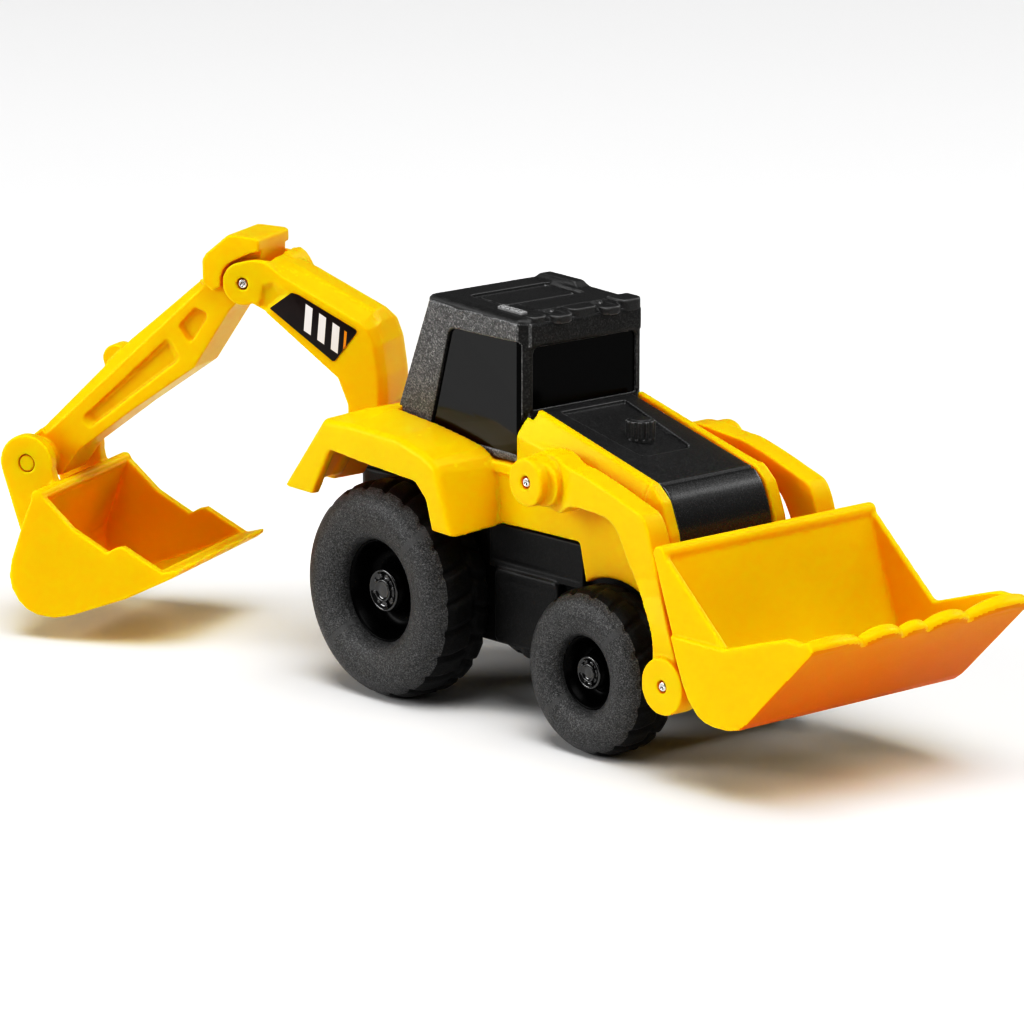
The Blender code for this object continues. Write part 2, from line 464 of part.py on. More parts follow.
# crowned back: the front and top rise towards the middle of the width
def boom_ring(w, front, top):
    shift = [(-front, 0.0), (-front, 0.0), (-front, 0.1 * top), (-front, 0.4 * top), (-0.43 * top, 0.9 * top), (-0.2 * top, 0.75 * top), (0.0, 0.25 * top)]
    pts = [(x + shift[i][0], z + shift[i][1]) if i < 7 else (x, z) for i, (x, z) in enumerate(boom_pts)]
    return [(x, w, z) for x, z in pts]
boom = loft("boom", [boom_ring(-BW, 0.0, 0.0), boom_ring(-3.4, 0.7, 0.8), boom_ring(-1.7, 0.75, 1.6),
                     boom_ring(1.7, 0.75, 1.6), boom_ring(3.4, 0.7, 0.8), boom_ring(BW, 0.0, 0.0)])
# stick ears
for s in (-1, 1):
    ear = prism_y("t", [(15.5, 53.9), (15.0, 47.4)] + arc(STICK_L, STICK_Z, 3.05, -120, 110, 20), s * 4.05, s * BW)
    join(boom, ear)
# neck between the ears is cut back so that the stick root has room to turn
cut(boom, cyl("t", 'Y', (STICK_L, STICK_Z), 4.1, -4.05, 4.05, 40))
# foot cheeks
for s in (-1, 1):
    cheek = prism_y("t", arc(BOOM_L, BOOM_Z, 2.9, 180, 360, 16) + [(4.05, 35.0), (-0.85, 35.0)], s * 1.85, s * 4.7)
    join(boom, cheek)
cut(boom, cyl("t", 'Y', (BOOM_L, BOOM_Z), PIN_R + BORE, -6, 6, 24), cyl("t", 'Y', (STICK_L, STICK_Z), PIN_R + BORE, -6, 6, 24))
finish(boom, PLASTIC_Y, pivot=(BOOM_L, 0, BOOM_Z), rig=SWING)
finish(cyl("boom_pin", 'Y', (BOOM_L, BOOM_Z), PIN_R, -4.6, 4.6, 24), STEEL, pivot=(BOOM_L, 0, BOOM_Z), rig=SWING)
finish(cyl("stick_pin", 'Y', (STICK_L, STICK_Z), PIN_R, -4.95, 4.95, 24), STEEL, pivot=(STICK_L, 0, STICK_Z), rig=SWING)

SW = 3.9
stick_pts = [(17.6, 54.6), (17.6, 58.2), (18.3, 58.5), (22.4, 58.65), (25.8, 55.8), (26.4, 54.8), (26.4, 51.9), (27.5, 51.7), (39.3, 41.9),
             (53.2, 28.0), (54.6, 26.9), (52.9, 21.5), (49.6, 21.8), (46.9, 25.6), (38.2, 32.2), (28.4, 39.1), (23.0, 47.4), (21.6, 49.0), (17.6, 50.2)]
stick = prism_y("stick", stick_pts, -SW, SW)
# round root between the boom ears
cut(stick, prism_y("t", [(14.0, 48.0), (17.3, 48.0), (17.3, 60.0), (14.0, 60.0)], -5, 5))
# chamfered back edges
for s in (-1, 1):
    cut(stick, loft("t", [[(26.45, s * 3.95, 51.1), (28.4, s * 1.9, 51.6), (32.0, s * 6.0, 56.0)],
                          [(52.0, s * 3.95, 27.5), (53.4, s * 1.9, 28.8), (57.0, s * 6.0, 33.0)]]))
    # weight-saving pockets on both flanks with a rib between
    cut(stick, prism_y("t", [(27.9, 48.1), (31.0, 44.9), (29.1, 42.4), (26.1, 47.1)], s * 3.2, s * 5.0),
        prism_y("t", [(32.2, 43.6), (46.5, 30.2), (45.3, 28.6), (38.9, 33.7), (30.2, 40.4)], s * 3.2, s * 5.0))
# head widening flush with the ears, lug on the back, barrel and stub pins at the bucket end
join(stick, cyl("t", 'Y', (41.9, 38.9), 2.0, -1.6, 1.6, 24),
     cyl("t", 'Y', (DIG_L, DIG_Z), 2.9, -6.45, 6.45, 32),
     cyl("t", 'Y', (DIG_L, DIG_Z), 1.2, -8.2, 8.2, 24))
cut(stick, cyl("t", 'Y', (STICK_L, STICK_Z), PIN_R + 0.05, -6, 6, 24))
finish(stick, PLASTIC_Y, pivot=(STICK_L, 0, STICK_Z), rig=SWING)

# ================================================================== digging bucket
D_HALF = 14.0
D_OUT = [(48.3, 21.0), (49.0, 20.9), (50.4, 17.6), (52.6, 11.2), (52.95, 9.0), (52.6, 7.2), (51.5, 5.4), (50.2, 4.3), (48.6, 3.65), (46.0, 3.45),
         (43.1, 4.1), (34.6, 7.3), (27.4, 10.9), (26.3, 11.7), (26.2, 12.3), (28.9, 11.6), (35.0, 14.8), (36.2, 14.5), (37.5, 13.7),
         (42.8, 16.6), (47.6, 21.0)]
D_CUT = [(47.4, 23.0), (47.5, 20.6), (51.1, 10.9), (51.4, 9.0), (51.1, 7.8), (50.3, 6.5), (49.3, 5.7), (48.2, 5.2), (46.0, 5.0), (43.5, 5.6),
         (35.1, 8.8), (28.6, 12.1), (24.0, 14.2), (24.0, 26.0), (47.4, 26.0)]
dig = prism_y("digging_bucket", D_OUT, -D_HALF, D_HALF)
cut(dig, prism_y("t", D_CUT, -(D_HALF - 1.3), D_HALF - 1.3))
join(dig, cyl("t", 'Y', (48.35, 20.75), 0.95, -(D_HALF - 0.05), D_HALF - 0.05, 22))
for s in (-1, 1):
    ear = prism_y("t", arc(DIG_L, DIG_Z, 4.1, -20, 190, 20) + [(48.2, 20.4), (52.6, 10.6), (53.2, 11.6)], s * 6.6, s * 8.4)
    join(dig, ear)
cut(dig, cyl("t", 'Y', (DIG_L, DIG_Z), 1.2 + BORE, -10, 10, 24))
for yy in (-10.5, -3.5, 3.5, 10.5):
    c = cyl("t", 'Y', (0.0, 0.0), 4.2, -5.0, 5.0, 24)
    c.data.transform(Matrix.Translation((26.2 - 3.35, yy, 12.0 + 1.3)) @ Matrix.Rotation(math.radians(25), 4, 'Y')
                     @ Matrix.Rotation(math.radians(90), 4, 'X'))
    cut(dig, c)
finish(dig, PLASTIC_Y, pivot=(DIG_L, 0, DIG_Z), rig=SWING)

# graphic panels stuck on both boom flanks
for s, sn in ((1, "right"), (-1, "left")):
    lab = prism_y("boom_label_" + sn, [(15.6, 48.95), (12.5, 51.0), (11.7, 51.0), (2.5, 46.6), (6.1, 42.0)], s * (BW + 0.05), s * (BW + 0.25))
    finish(lab, ((0.02, 0.015, 0.015), 0.3), pivot=(BOOM_L, 0, BOOM_Z), rig=SWING)
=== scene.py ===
"""Looks of a small toy backhoe loader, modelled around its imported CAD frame.

Pieces are modelled in millimetres in the vehicle frame (X forward, Y left, Z up,
X = 0 on the rear axle, Y = 0 on the centre plane, Z = 0 on the ground), softened
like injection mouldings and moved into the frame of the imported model.
"""

import math

import bpy
import bmesh
import numpy as np
from mathutils import Matrix, Vector


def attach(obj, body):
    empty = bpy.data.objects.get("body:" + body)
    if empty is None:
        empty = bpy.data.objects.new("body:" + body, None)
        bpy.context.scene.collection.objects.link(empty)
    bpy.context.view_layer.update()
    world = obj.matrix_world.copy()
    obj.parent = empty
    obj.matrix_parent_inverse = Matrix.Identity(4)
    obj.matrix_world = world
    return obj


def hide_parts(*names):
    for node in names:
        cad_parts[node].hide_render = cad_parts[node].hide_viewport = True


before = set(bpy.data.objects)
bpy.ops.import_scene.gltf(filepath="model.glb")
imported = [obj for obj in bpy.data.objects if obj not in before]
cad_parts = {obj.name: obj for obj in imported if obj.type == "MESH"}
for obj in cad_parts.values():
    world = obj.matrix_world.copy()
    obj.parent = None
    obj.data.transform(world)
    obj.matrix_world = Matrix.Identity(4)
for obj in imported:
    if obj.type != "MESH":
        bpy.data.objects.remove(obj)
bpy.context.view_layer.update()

MM = 0.001
OX, OY = 6.189, -7.793

REAR_R, REAR_OUT, REAR_IN = 15.0, 19.7, 10.0
FRONT_X, FRONT_R, FRONT_OUT, FRONT_IN = 40.4, 11.2, 18.0, 10.2
ARM_PX, ARM_PZ = 30.75, 35.5
BKT_PX, BKT_PZ, BKT_HALF = 58.2, 13.4, 19.7
SWING_X, SWING_DEG = -18.5, 25.3
BOOM_L, BOOM_Z = 1.0, 31.2
STICK_L, STICK_Z = 20.2, 51.9
DIG_L, DIG_Z = 52.9, 24.1
HOOD_OUT, HOOD_IN = 11.5, 8.45
SWING = Matrix.Translation((SWING_X, 0, 0)) @ Matrix.Rotation(math.radians(180 + SWING_DEG), 4, 'Z')

# ------------------------------------------------------------------ mesh helpers (mm)
def new_object(name, bm):
    me = bpy.data.meshes.new(name)
    bmesh.ops.recalc_face_normals(bm, faces=bm.faces[:])
    bm.to_mesh(me)
    bm.free()
    ob = bpy.data.objects.new(name, me)
    bpy.context.scene.collection.objects.link(ob)
    return ob

def loft(name, rings):
    bm = bmesh.new()
    vs = [[bm.verts.new(p) for p in ring] for ring in rings]
    n = len(rings[0])
    for a, b in zip(vs, vs[1:]):
        for i in range(n):
            j = (i + 1) % n
            bm.faces.new((a[i], a[j], b[j], b[i]))
    c0 = bm.faces.new(list(reversed(vs[0])))
    c1 = bm.faces.new(vs[-1])
    bmesh.ops.recalc_face_normals(bm, faces=bm.faces[:])
    bmesh.ops.triangulate(bm, faces=[c0, c1], quad_method='BEAUTY', ngon_method='EAR_CLIP')
    bent = []
    for f in bm.faces:
        if len(f.verts) == 4:
            p = [v.co for v in f.verts]
            nrm = (p[1] - p[0]).cross(p[2] - p[0])
            if nrm.length > 1e-9 and abs(nrm.normalized().dot(p[3] - p[0])) > 1e-5:
                bent.append(f)
    if bent:
        bmesh.ops.triangulate(bm, faces=bent)
    return new_object(name, bm)

def prism_y(name, pts, y0, y1):
    return loft(name, [[(x, y0, z) for x, z in pts], [(x, y1, z) for x, z in pts]])

def prism_z(name, pts, z0, z1):
    return loft(name, [[(x, y, z0) for x, y in pts], [(x, y, z1) for x, y in pts]])

def box(name, x0, x1, y0, y1, z0, z1):
    return prism_y(name, [(x0, z0), (x1, z0), (x1, z1), (x0, z1)], y0, y1)

def cyl(name, axis, c, r, a, b, n=64, r2=None):
    r2 = r if r2 is None else r2
    ang = [2 * math.pi * i / n for i in range(n)]
    rings = []
    for rr, k in ((r, a), (r2, b)):
        pts = [(rr * math.cos(t), rr * math.sin(t)) for t in ang]
        if axis == 'Y':
            rings.append([(c[0] + p, k, c[1] + q) for p, q in pts])
        elif axis == 'Z':
            rings.append([(c[0] + p, c[1] + q, k) for p, q in pts])
        else:
            rings.append([(k, c[0] + p, c[1] + q) for p, q in pts])
    return loft(name, rings)

def boolean(ob, other, op='DIFFERENCE'):
    m = ob.modifiers.new("b", 'BOOLEAN')
    m.operation = op
    m.solver = 'EXACT'
    m.object = other
    bake(ob)
    bpy.data.objects.remove(other, do_unlink=True)
    return ob

def bake(ob):
    dg = bpy.context.evaluated_depsgraph_get()
    me = bpy.data.meshes.new_from_object(ob.evaluated_get(dg))
    ob.modifiers.clear()
    old = ob.data
    ob.data = me
    bpy.data.meshes.remove(old)
    return ob

def cut(ob, *others):
    for o in others:
        boolean(ob, o, 'DIFFERENCE')
    return ob

def join(ob, *others):
    for o in others:
        boolean(ob, o, 'UNION')
    return ob

def arc(cx, cz, r, a0, a1, n):
    return [(cx + r * math.cos(math.radians(a0 + (a1 - a0) * i / n)),
             cz + r * math.sin(math.radians(a0 + (a1 - a0) * i / n))) for i in range(n + 1)]

def rounded(pts, r, n=5, only=None):
    """Outline with its corners rounded to radius r (only: indices that are rounded)."""
    out = []
    m = len(pts)
    for i, p in enumerate(pts):
        if only is not None and i not in only:
            out.append(p)
            continue
        a = Vector(pts[i - 1]) - Vector(p)
        b = Vector(pts[(i + 1) % m]) - Vector(p)
        la, lb = a.length, b.length
        a.normalize()
        b.normalize()
        ang = math.acos(max(-1, min(1, a.dot(b))))
        if ang > math.radians(172) or ang < math.radians(8):
            out.append(p)
            continue
        d = min(r / math.tan(ang / 2), 0.45 * la, 0.45 * lb)
        rr = d * math.tan(ang / 2)
        p0, p1 = Vector(p) + a * d, Vector(p) + b * d
        c = Vector(p) + (a + b).normalized() * (rr / math.sin(ang / 2))
        v0, v1 = p0 - c, p1 - c
        full = math.acos(max(-1, min(1, v0.normalized().dot(v1.normalized()))))
        sgn = 1 if v0.x * v1.y - v0.y * v1.x > 0 else -1
        for k in range(n + 1):
            t = sgn * full * k / n
            out.append((c.x + v0.x * math.cos(t) - v0.y * math.sin(t), c.y + v0.x * math.sin(t) + v0.y * math.cos(t)))
    return out

def catmull(pts, n):
    """Smooth curve through points, n samples a span."""
    p = [Vector(q) for q in pts]
    p = [2 * p[0] - p[1]] + p + [2 * p[-1] - p[-2]]
    out = []
    for i in range(1, len(p) - 2):
        a, b, c, d = p[i - 1], p[i], p[i + 1], p[i + 2]
        for k in range(n):
            t = k / n
            v = 0.5 * ((2 * b) + (c - a) * t + (2 * a - 5 * b + 4 * c - d) * t * t + (3 * b - a - 3 * c + d) * t * t * t)
            out.append((v.x, v.y))
    out.append((p[-2].x, p[-2].y))
    return out

def soften(ob, voxel=0.2, iters=8, factor=0.5):
    """Even skin over the moulding with its edges and inner corners rolled over."""
    m = ob.modifiers.new("r", 'REMESH')
    m.mode = 'VOXEL'
    m.voxel_size = voxel
    m.adaptivity = 0.0
    s = ob.modifiers.new("s", 'SMOOTH')
    s.factor = factor
    s.iterations = iters
    bake(ob)
    return ob

def edge_bevel(ob, width=0.25, segs=3, angle=28):
    m = ob.modifiers.new("b", 'BEVEL')
    m.width = width
    m.segments = segs
    m.limit_method = 'ANGLE'
    m.angle_limit = math.radians(angle)
    m.harden_normals = False
    bake(ob)
    return ob

def piece(ob, name, body, nodes, mat, rig=None, flat=False):
    """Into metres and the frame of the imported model, and onto its body."""
    if rig is not None:
        ob.data.transform(rig)
    ob.data.transform(Matrix.Translation((-OX, -OY, 0)))
    ob.data.transform(Matrix.Diagonal((MM, MM, MM, 1)))
    ob.name = name
    ob.data.name = name
    ob.data.materials.clear()
    ob.data.materials.append(mat)
    ob.data.polygons.foreach_set("use_smooth", [not flat] * len(ob.data.polygons))
    ob.data.polygons.foreach_set("material_index", [0] * len(ob.data.polygons))
    ob.data.update()
    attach(ob, body)
    if nodes:
        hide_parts(*nodes)
    return ob

def smooth(t):
    t = max(0.0, min(1.0, t))
    return t * t * (3 - 2 * t)

# ------------------------------------------------------------------ materials
class Nodes:
    def __init__(self, name):
        self.m = bpy.data.materials.new(name)
        self.m.use_nodes = True
        self.t = self.m.node_tree
        self.t.nodes.clear()
        self.out = self.t.nodes.new("ShaderNodeOutputMaterial")
        self.b = self.t.nodes.new("ShaderNodeBsdfPrincipled")
        self.t.links.new(self.b.outputs[0], self.out.inputs["Surface"])
        self.tc = self.t.nodes.new("ShaderNodeTexCoord")

    def link(self, a, b):
        self.t.links.new(a, b)

    def node(self, kind, **kw):
        n = self.t.nodes.new(kind)
        for k, v in kw.items():
            setattr(n, k, v)
        return n

    def noise(self, scale, detail=2.0, rough=0.5, vec=None):
        n = self.node("ShaderNodeTexNoise")
        n.inputs["Scale"].default_value = scale
        n.inputs["Detail"].default_value = detail
        n.inputs["Roughness"].default_value = rough
        self.link(vec or self.tc.outputs["Object"], n.inputs["Vector"])
        return n.outputs["Fac"]

    def ramp(self, fac, stops):
        r = self.node("ShaderNodeValToRGB")
        e = r.color_ramp.elements
        while len(e) < len(stops):
            e.new(0.5)
        for el, (p, c) in zip(e, stops):
            el.position = p
            el.color = (c[0], c[1], c[2], 1.0) if not isinstance(c, float) else (c, c, c, 1.0)
        self.link(fac, r.inputs["Fac"])
        return r.outputs["Color"]

    def rng(self, fac, a, b, lo=0.0, hi=1.0):
        n = self.node("ShaderNodeMapRange")
        n.inputs["From Min"].default_value = lo
        n.inputs["From Max"].default_value = hi
        n.inputs["To Min"].default_value = a
        n.inputs["To Max"].default_value = b
        self.link(fac, n.inputs["Value"])
        return n.outputs["Result"]

    def math(self, op, a, b=None):
        n = self.node("ShaderNodeMath", operation=op)
        for i, v in enumerate((a, b)):
            if v is None:
                continue
            if isinstance(v, (int, float)):
                n.inputs[i].default_value = v
            else:
                self.link(v, n.inputs[i])
        return n.outputs[0]

    def mix(self, fac, a, b, blend='MIX'):
        n = self.node("ShaderNodeMix", data_type='RGBA', blend_type=blend)
        for sock, v in ((n.inputs["Factor"], fac), (n.inputs["A"], a), (n.inputs["B"], b)):
            pass
        f = [s for s in n.inputs if s.name == "Factor" and s.type == 'VALUE'][0]
        ca = [s for s in n.inputs if s.name == "A" and s.type == 'RGBA'][0]
        cb = [s for s in n.inputs if s.name == "B" and s.type == 'RGBA'][0]
        for sock, v in ((f, fac), (ca, a), (cb, b)):
            if isinstance(v, (int, float)):
                sock.default_value = v
            elif isinstance(v, tuple):
                sock.default_value = (v[0], v[1], v[2], 1.0)
            else:
                self.link(v, sock)
        return [s for s in n.outputs if s.type == 'RGBA'][0]

    def bump(self, height, dist, strength=1.0, prev=None):
        n = self.node("ShaderNodeBump")
        n.inputs["Strength"].default_value = strength
        n.inputs["Distance"].default_value = dist
        self.link(height, n.inputs["Height"])
        if prev is not None:
            self.link(prev, n.inputs["Normal"])
        return n.outputs["Normal"]

    def put(self, name, v):
        s = self.b.inputs[name]
        if isinstance(v, (int, float)):
            s.default_value = v
        elif isinstance(v, tuple):
            s.default_value = (v[0], v[1], v[2], 1.0) if s.type == 'RGBA' else v
        else:
            self.link(v, s)

    def pointiness(self):
        return self.node("ShaderNodeNewGeometry").outputs["Pointiness"]


def yellow_plastic(name="yellow_moulding", reach=0.007, open_at=0.80, painted_shade_col=(0.78, 0.235, 0.0004), spec=0.22, glow=0.0032):
    n = Nodes(name)
    big = n.noise(55.0, 2.0, 0.5)
    col = n.ramp(big, [(0.3, (0.76, 0.495, 0.0006)), (0.7, (0.80, 0.530, 0.0010))])
    fine = n.noise(2600.0, 2.0, 0.6)
    col = n.mix(n.rng(fine, 0.0, 0.08, 0.55, 0.75), col, (0.82, 0.58, 0.003))
    # painted highlight: convex edges, found by pointiness, are lightened towards a paler yellow
    edge = n.rng(n.pointiness(), 0.0, 0.55, 0.525, 0.60)
    col = n.mix(edge, col, (0.85, 0.64, 0.006))
    # painted shade: concave creases, found by pointiness, are tinted orange
    groove = n.rng(n.pointiness(), 0.55, 0.0, 0.40, 0.48)
    col = n.mix(groove, col, (0.76, 0.30, 0.0006))
    # painted shade: places occluded within reach (ambient occlusion) are tinted towards the given deep orange
    ao = n.node("ShaderNodeAmbientOcclusion")
    ao.samples = 6
    ao.inputs["Distance"].default_value = reach
    painted_hollow_shade = n.rng(ao.outputs["AO"], 0.85, 0.0, 0.10, open_at)
    col = n.mix(painted_hollow_shade, col, painted_shade_col)
    n.put("Base Color", col)
    n.put("Roughness", n.rng(n.noise(420.0, 3.0, 0.6), 0.26, 0.40))
    n.put("Specular IOR Level", spec)
    n.put("Specular Tint", (1.0, 0.72, 0.10))
    n.put("Subsurface Weight", 0.75)
    n.b.inputs["Subsurface Radius"].default_value = (1.0, 0.22, 0.02)
    n.put("Subsurface Scale", glow)
    wav = n.bump(n.noise(150.0, 1.0, 0.4), 0.00022, 0.35)
    orange = n.bump(n.noise(1300.0, 2.0, 0.5), 0.000018, 0.6, wav)
    grain = n.bump(n.noise(5200.0, 1.0, 0.5), 0.000006, 0.5, orange)
    n.put("Normal", grain)
    return n.m


def grained_black(name, base=0.016, spark=0.10, rough=(0.38, 0.56), depth=0.00006, scale=5200.0, spec=0.25, glint=2.6, rim=0.07):
    """Spark-eroded black plastic: tiny pits and glints in a fine grain."""
    n = Nodes(name)
    cells = n.node("ShaderNodeTexVoronoi")
    cells.inputs["Scale"].default_value = scale
    n.link(n.tc.outputs["Object"], cells.inputs["Vector"])
    sep = n.node("ShaderNodeSeparateColor")
    n.link(cells.outputs["Color"], sep.inputs[0])
    spot = n.math('POWER', sep.outputs[0], glint)
    gr = n.noise(scale * 0.62, 3.0, 0.7)
    big = n.noise(70.0, 2.0, 0.5)
    lo = (base * 0.75,) * 3
    hi = (base * 1.35, base * 1.35, base * 1.38)
    col = n.ramp(big, [(0.3, lo), (0.7, hi)])
    col = n.mix(n.math('MULTIPLY', spot, n.rng(gr, 0.2, 1.0, 0.35, 0.65)), col, (base + spark,) * 3)
    # painted highlight: convex edges, found by pointiness, are lightened by rim
    edge = n.rng(n.pointiness(), 0.0, 0.8, 0.515, 0.58)
    col = n.mix(edge, col, (base + rim,) * 3)
    n.put("Base Color", col)
    n.put("Roughness", n.rng(gr, rough[0], rough[1], 0.3, 0.7))
    n.put("Specular IOR Level", spec)
    b1 = n.bump(gr, depth, 0.8)
    b2 = n.bump(sep.outputs[1], depth * 0.7, 0.55, b1)
    n.put("Normal", b2)
    return n.m


def gloss_black(name, base=0.006, rough=0.10, wavy=0.00003, spec=0.10):
    n = Nodes(name)
    n.put("Base Color", n.ramp(n.noise(90.0, 2.0), [(0.3, (base * 0.8,) * 3), (0.7, (base * 1.3,) * 3)]))
    n.put("Roughness", n.rng(n.noise(600.0, 3.0, 0.6), rough * 0.8, rough * 1.5))
    n.put("Normal", n.bump(n.noise(260.0, 1.0, 0.4), wavy, 0.4))
    n.put("Specular IOR Level", spec)
    return n.m


def steel(name, axis=1):
    n = Nodes(name)
    mp = n.node("ShaderNodeMapping")
    s = [2600.0, 2600.0, 2600.0]
    s[axis] = 120.0
    mp.inputs["Scale"].default_value = s
    n.link(n.tc.outputs["Object"], mp.inputs["Vector"])
    ns = n.node("ShaderNodeTexNoise")
    ns.inputs["Scale"].default_value = 1.0
    ns.inputs["Detail"].default_value = 3.0
    n.link(mp.outputs[0], ns.inputs["Vector"])
    n.put("Base Color", n.ramp(ns.outputs["Fac"], [(0.3, (0.50, 0.50, 0.49)), (0.7, (0.72, 0.72, 0.71))]))
    n.put("Metallic", 1.0)
    n.put("Roughness", n.rng(ns.outputs["Fac"], 0.18, 0.34))
    n.put("Normal", n.bump(ns.outputs["Fac"], 0.00001, 0.5))
    return n.m


def label_film(name):
    """Dark film with three short slanted bars and a thin coloured one."""
    n = Nodes(name)

    def along(d, off):
        dot = n.node("ShaderNodeVectorMath", operation='DOT_PRODUCT')
        dot.inputs[1].default_value = tuple(d)
        n.link(n.tc.outputs["Object"], dot.inputs[0])
        return n.math('SUBTRACT', dot.outputs["Value"], off)

    run = along(LABEL_S, LABEL_C.dot(LABEL_S))
    wide = along(LABEL_T, LABEL_C.dot(LABEL_T))
    base = n.ramp(n.noise(400.0, 2.0), [(0.3, (0.008, 0.0035, 0.003)), (0.7, (0.014, 0.006, 0.005))])
    lean = n.math('ADD', run, n.math('MULTIPLY', wide, 0.45))
    col = base
    for off, w, h, c in ((-2.35, 0.62, 1.75, (0.74, 0.70, 0.68)), (0.0, 0.62, 1.75, (0.74, 0.70, 0.68)),
                         (2.35, 0.62, 1.75, (0.74, 0.70, 0.68)), (4.0, 0.22, 1.75, (0.72, 0.30, 0.006))):
        du = n.math('SUBTRACT', n.math('ABSOLUTE', n.math('SUBTRACT', lean, off * MM)), w * MM)
        dv = n.math('SUBTRACT', n.math('ABSOLUTE', wide), h * MM)
        inside = n.rng(n.math('MAXIMUM', du, dv), 1.0, 0.0, -0.00004, 0.00004)
        col = n.mix(inside, col, c)
    n.put("Base Color", col)
    n.put("Roughness", n.rng(n.noise(900.0, 2.0), 0.24, 0.36))
    n.put("Specular IOR Level", 0.2)
    n.put("Normal", n.bump(n.noise(1800.0, 2.0), 0.000006, 0.5))
    return n.m


# centre of the label measured along the stripe direction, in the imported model's frame
_u = Vector((-0.9041, -0.4274, 0.0))
LABEL_C = (Vector((SWING_X - OX, -OY, 0)) + _u * 7.9 + Vector((0, 0, 46.55))) * MM
LABEL_S = (_u * -0.872 + Vector((0, 0, -0.490)))
LABEL_T = (_u * -0.490 + Vector((0, 0, 0.872)))

YEL = yellow_plastic()
YELB = yellow_plastic("yellow_bucket", 0.005, 0.60, (0.80, 0.34, 0.0005), 0.12, 0.0050)
# painted shade: deep orange copy for the underside of the bucket lip, its occlusion reach taking in the floor
YEL_UNDERSIDE_SHADE = yellow_plastic("yellow_bucket_painted_underside_shade", 0.030, 1.40, (0.50, 0.012, 0.0002), 0.03)
YELD = yellow_plastic("yellow_digging_bucket", 0.004, 0.60, (0.80, 0.26, 0.0004), 0.22, 0.0060)
CABK = grained_black("cab_grain", base=0.014, spark=0.30, rough=(0.32, 0.50), depth=0.00007, spec=0.85, glint=1.6, rim=0.16)
# darker copy of the cab grain for the front-facing faces: painted shade
CAB_FRONT_SHADE = grained_black("cab_front_painted_shade", base=0.006, spark=0.045, rough=(0.34, 0.52), depth=0.00005, spec=0.22, glint=1.8, rim=0.05)
ROOFK = grained_black("roof_grain", base=0.010, spark=0.022, rough=(0.34, 0.50), depth=0.00003, spec=0.40, rim=0.26)
HOODK = grained_black("hood_grain", base=0.009, spark=0.034, rough=(0.30, 0.46), depth=0.00004, spec=0.45, rim=0.34)
GRILLEK = grained_black("grille_satin", base=0.006, spark=0.006, rough=(0.22, 0.30), depth=0.000006, spec=1.0)
CHASK = grained_black("chassis_grain", base=0.005, spark=0.010, rough=(0.30, 0.42), depth=0.00002, spec=0.18, rim=0.04)
BARK = grained_black("light_bar_grain", base=0.22, spark=0.60, rough=(0.35, 0.6), depth=0.00008, scale=3600.0, glint=1.2)
TYREK = grained_black("tyre_grain", base=0.006, spark=0.17, rough=(0.36, 0.54), depth=0.00007, scale=7600.0, spec=0.42, glint=1.5, rim=0.05)
# smoother tread rubber, made darker than the side wall as painted shade
TREAD_SMOOTH_SHADE = grained_black("tread_rubber_painted_shade", base=0.0025, spark=0.012, rough=(0.34, 0.50), depth=0.00004, scale=7600.0, spec=0.10, glint=1.5, rim=0.02)
# darker, less reflective copy of the window gloss for the front pane: painted shade
GLASS_FRONT_SHADE = gloss_black("front_window_painted_shade", base=0.001, rough=0.12, wavy=0.00001, spec=0.05)
GLASSK = gloss_black("window_gloss", base=0.0015, rough=0.08, wavy=0.00001, spec=0.34)
RIMK = gloss_black("rim_gloss", base=0.0008, rough=0.24, spec=0.05)
HUBK = gloss_black("hub_gloss", base=0.002, rough=0.08, spec=1.0)
STEEL = steel("pin_steel", 1)
STEELZ = steel("screw_steel", 2)
FILM = label_film("label_film")

# ------------------------------------------------------------------ yellow body shell
F_MID0 = [(-18.3, 26.9), (-9.9, 37.6), (-4.0, 37.9), (5.5, 37.6), (10.5, 36.4), (12.6, 35.6), (13.6, 34.9), (14.2, 33.9), (15.1, 31.5), (17.2, 25.7)]
F_IN0 = [(-18.3, 26.9), (-9.9, 38.0), (-3.3, 39.1), (5.5, 38.2), (11.5, 37.3), (14.4, 36.7), (16.1, 35.8), (17.05, 34.3), (17.35, 31.8), (17.6, 26.3)]
F_OUT0 = [(-17.7, 26.9), (-9.55, 36.8), (-3.9, 37.0), (5.3, 36.7), (10.1, 35.6), (12.0, 34.8), (12.95, 34.15), (13.5, 33.2), (14.4, 31.0), (16.5, 25.9)]
V_MID = [(-20.35, 22.0), (-9.3, 36.1), (-3.9, 36.5), (5.2, 36.2), (9.9, 35.0), (12.6, 33.6), (16.6, 22.0)]
V_IN = [(-20.2, 22.0), (-9.2, 36.65), (-3.4, 37.7), (5.2, 36.8), (11.0, 35.9), (15.2, 34.5), (16.2, 22.0)]

def dense(pts, n=3):
    out = []
    for p, q in zip(pts, pts[1:]):
        out += [(p[0] + (q[0] - p[0]) * k / n, p[1] + (q[1] - p[1]) * k / n) for k in range(n)]
    return out + [pts[-1]]

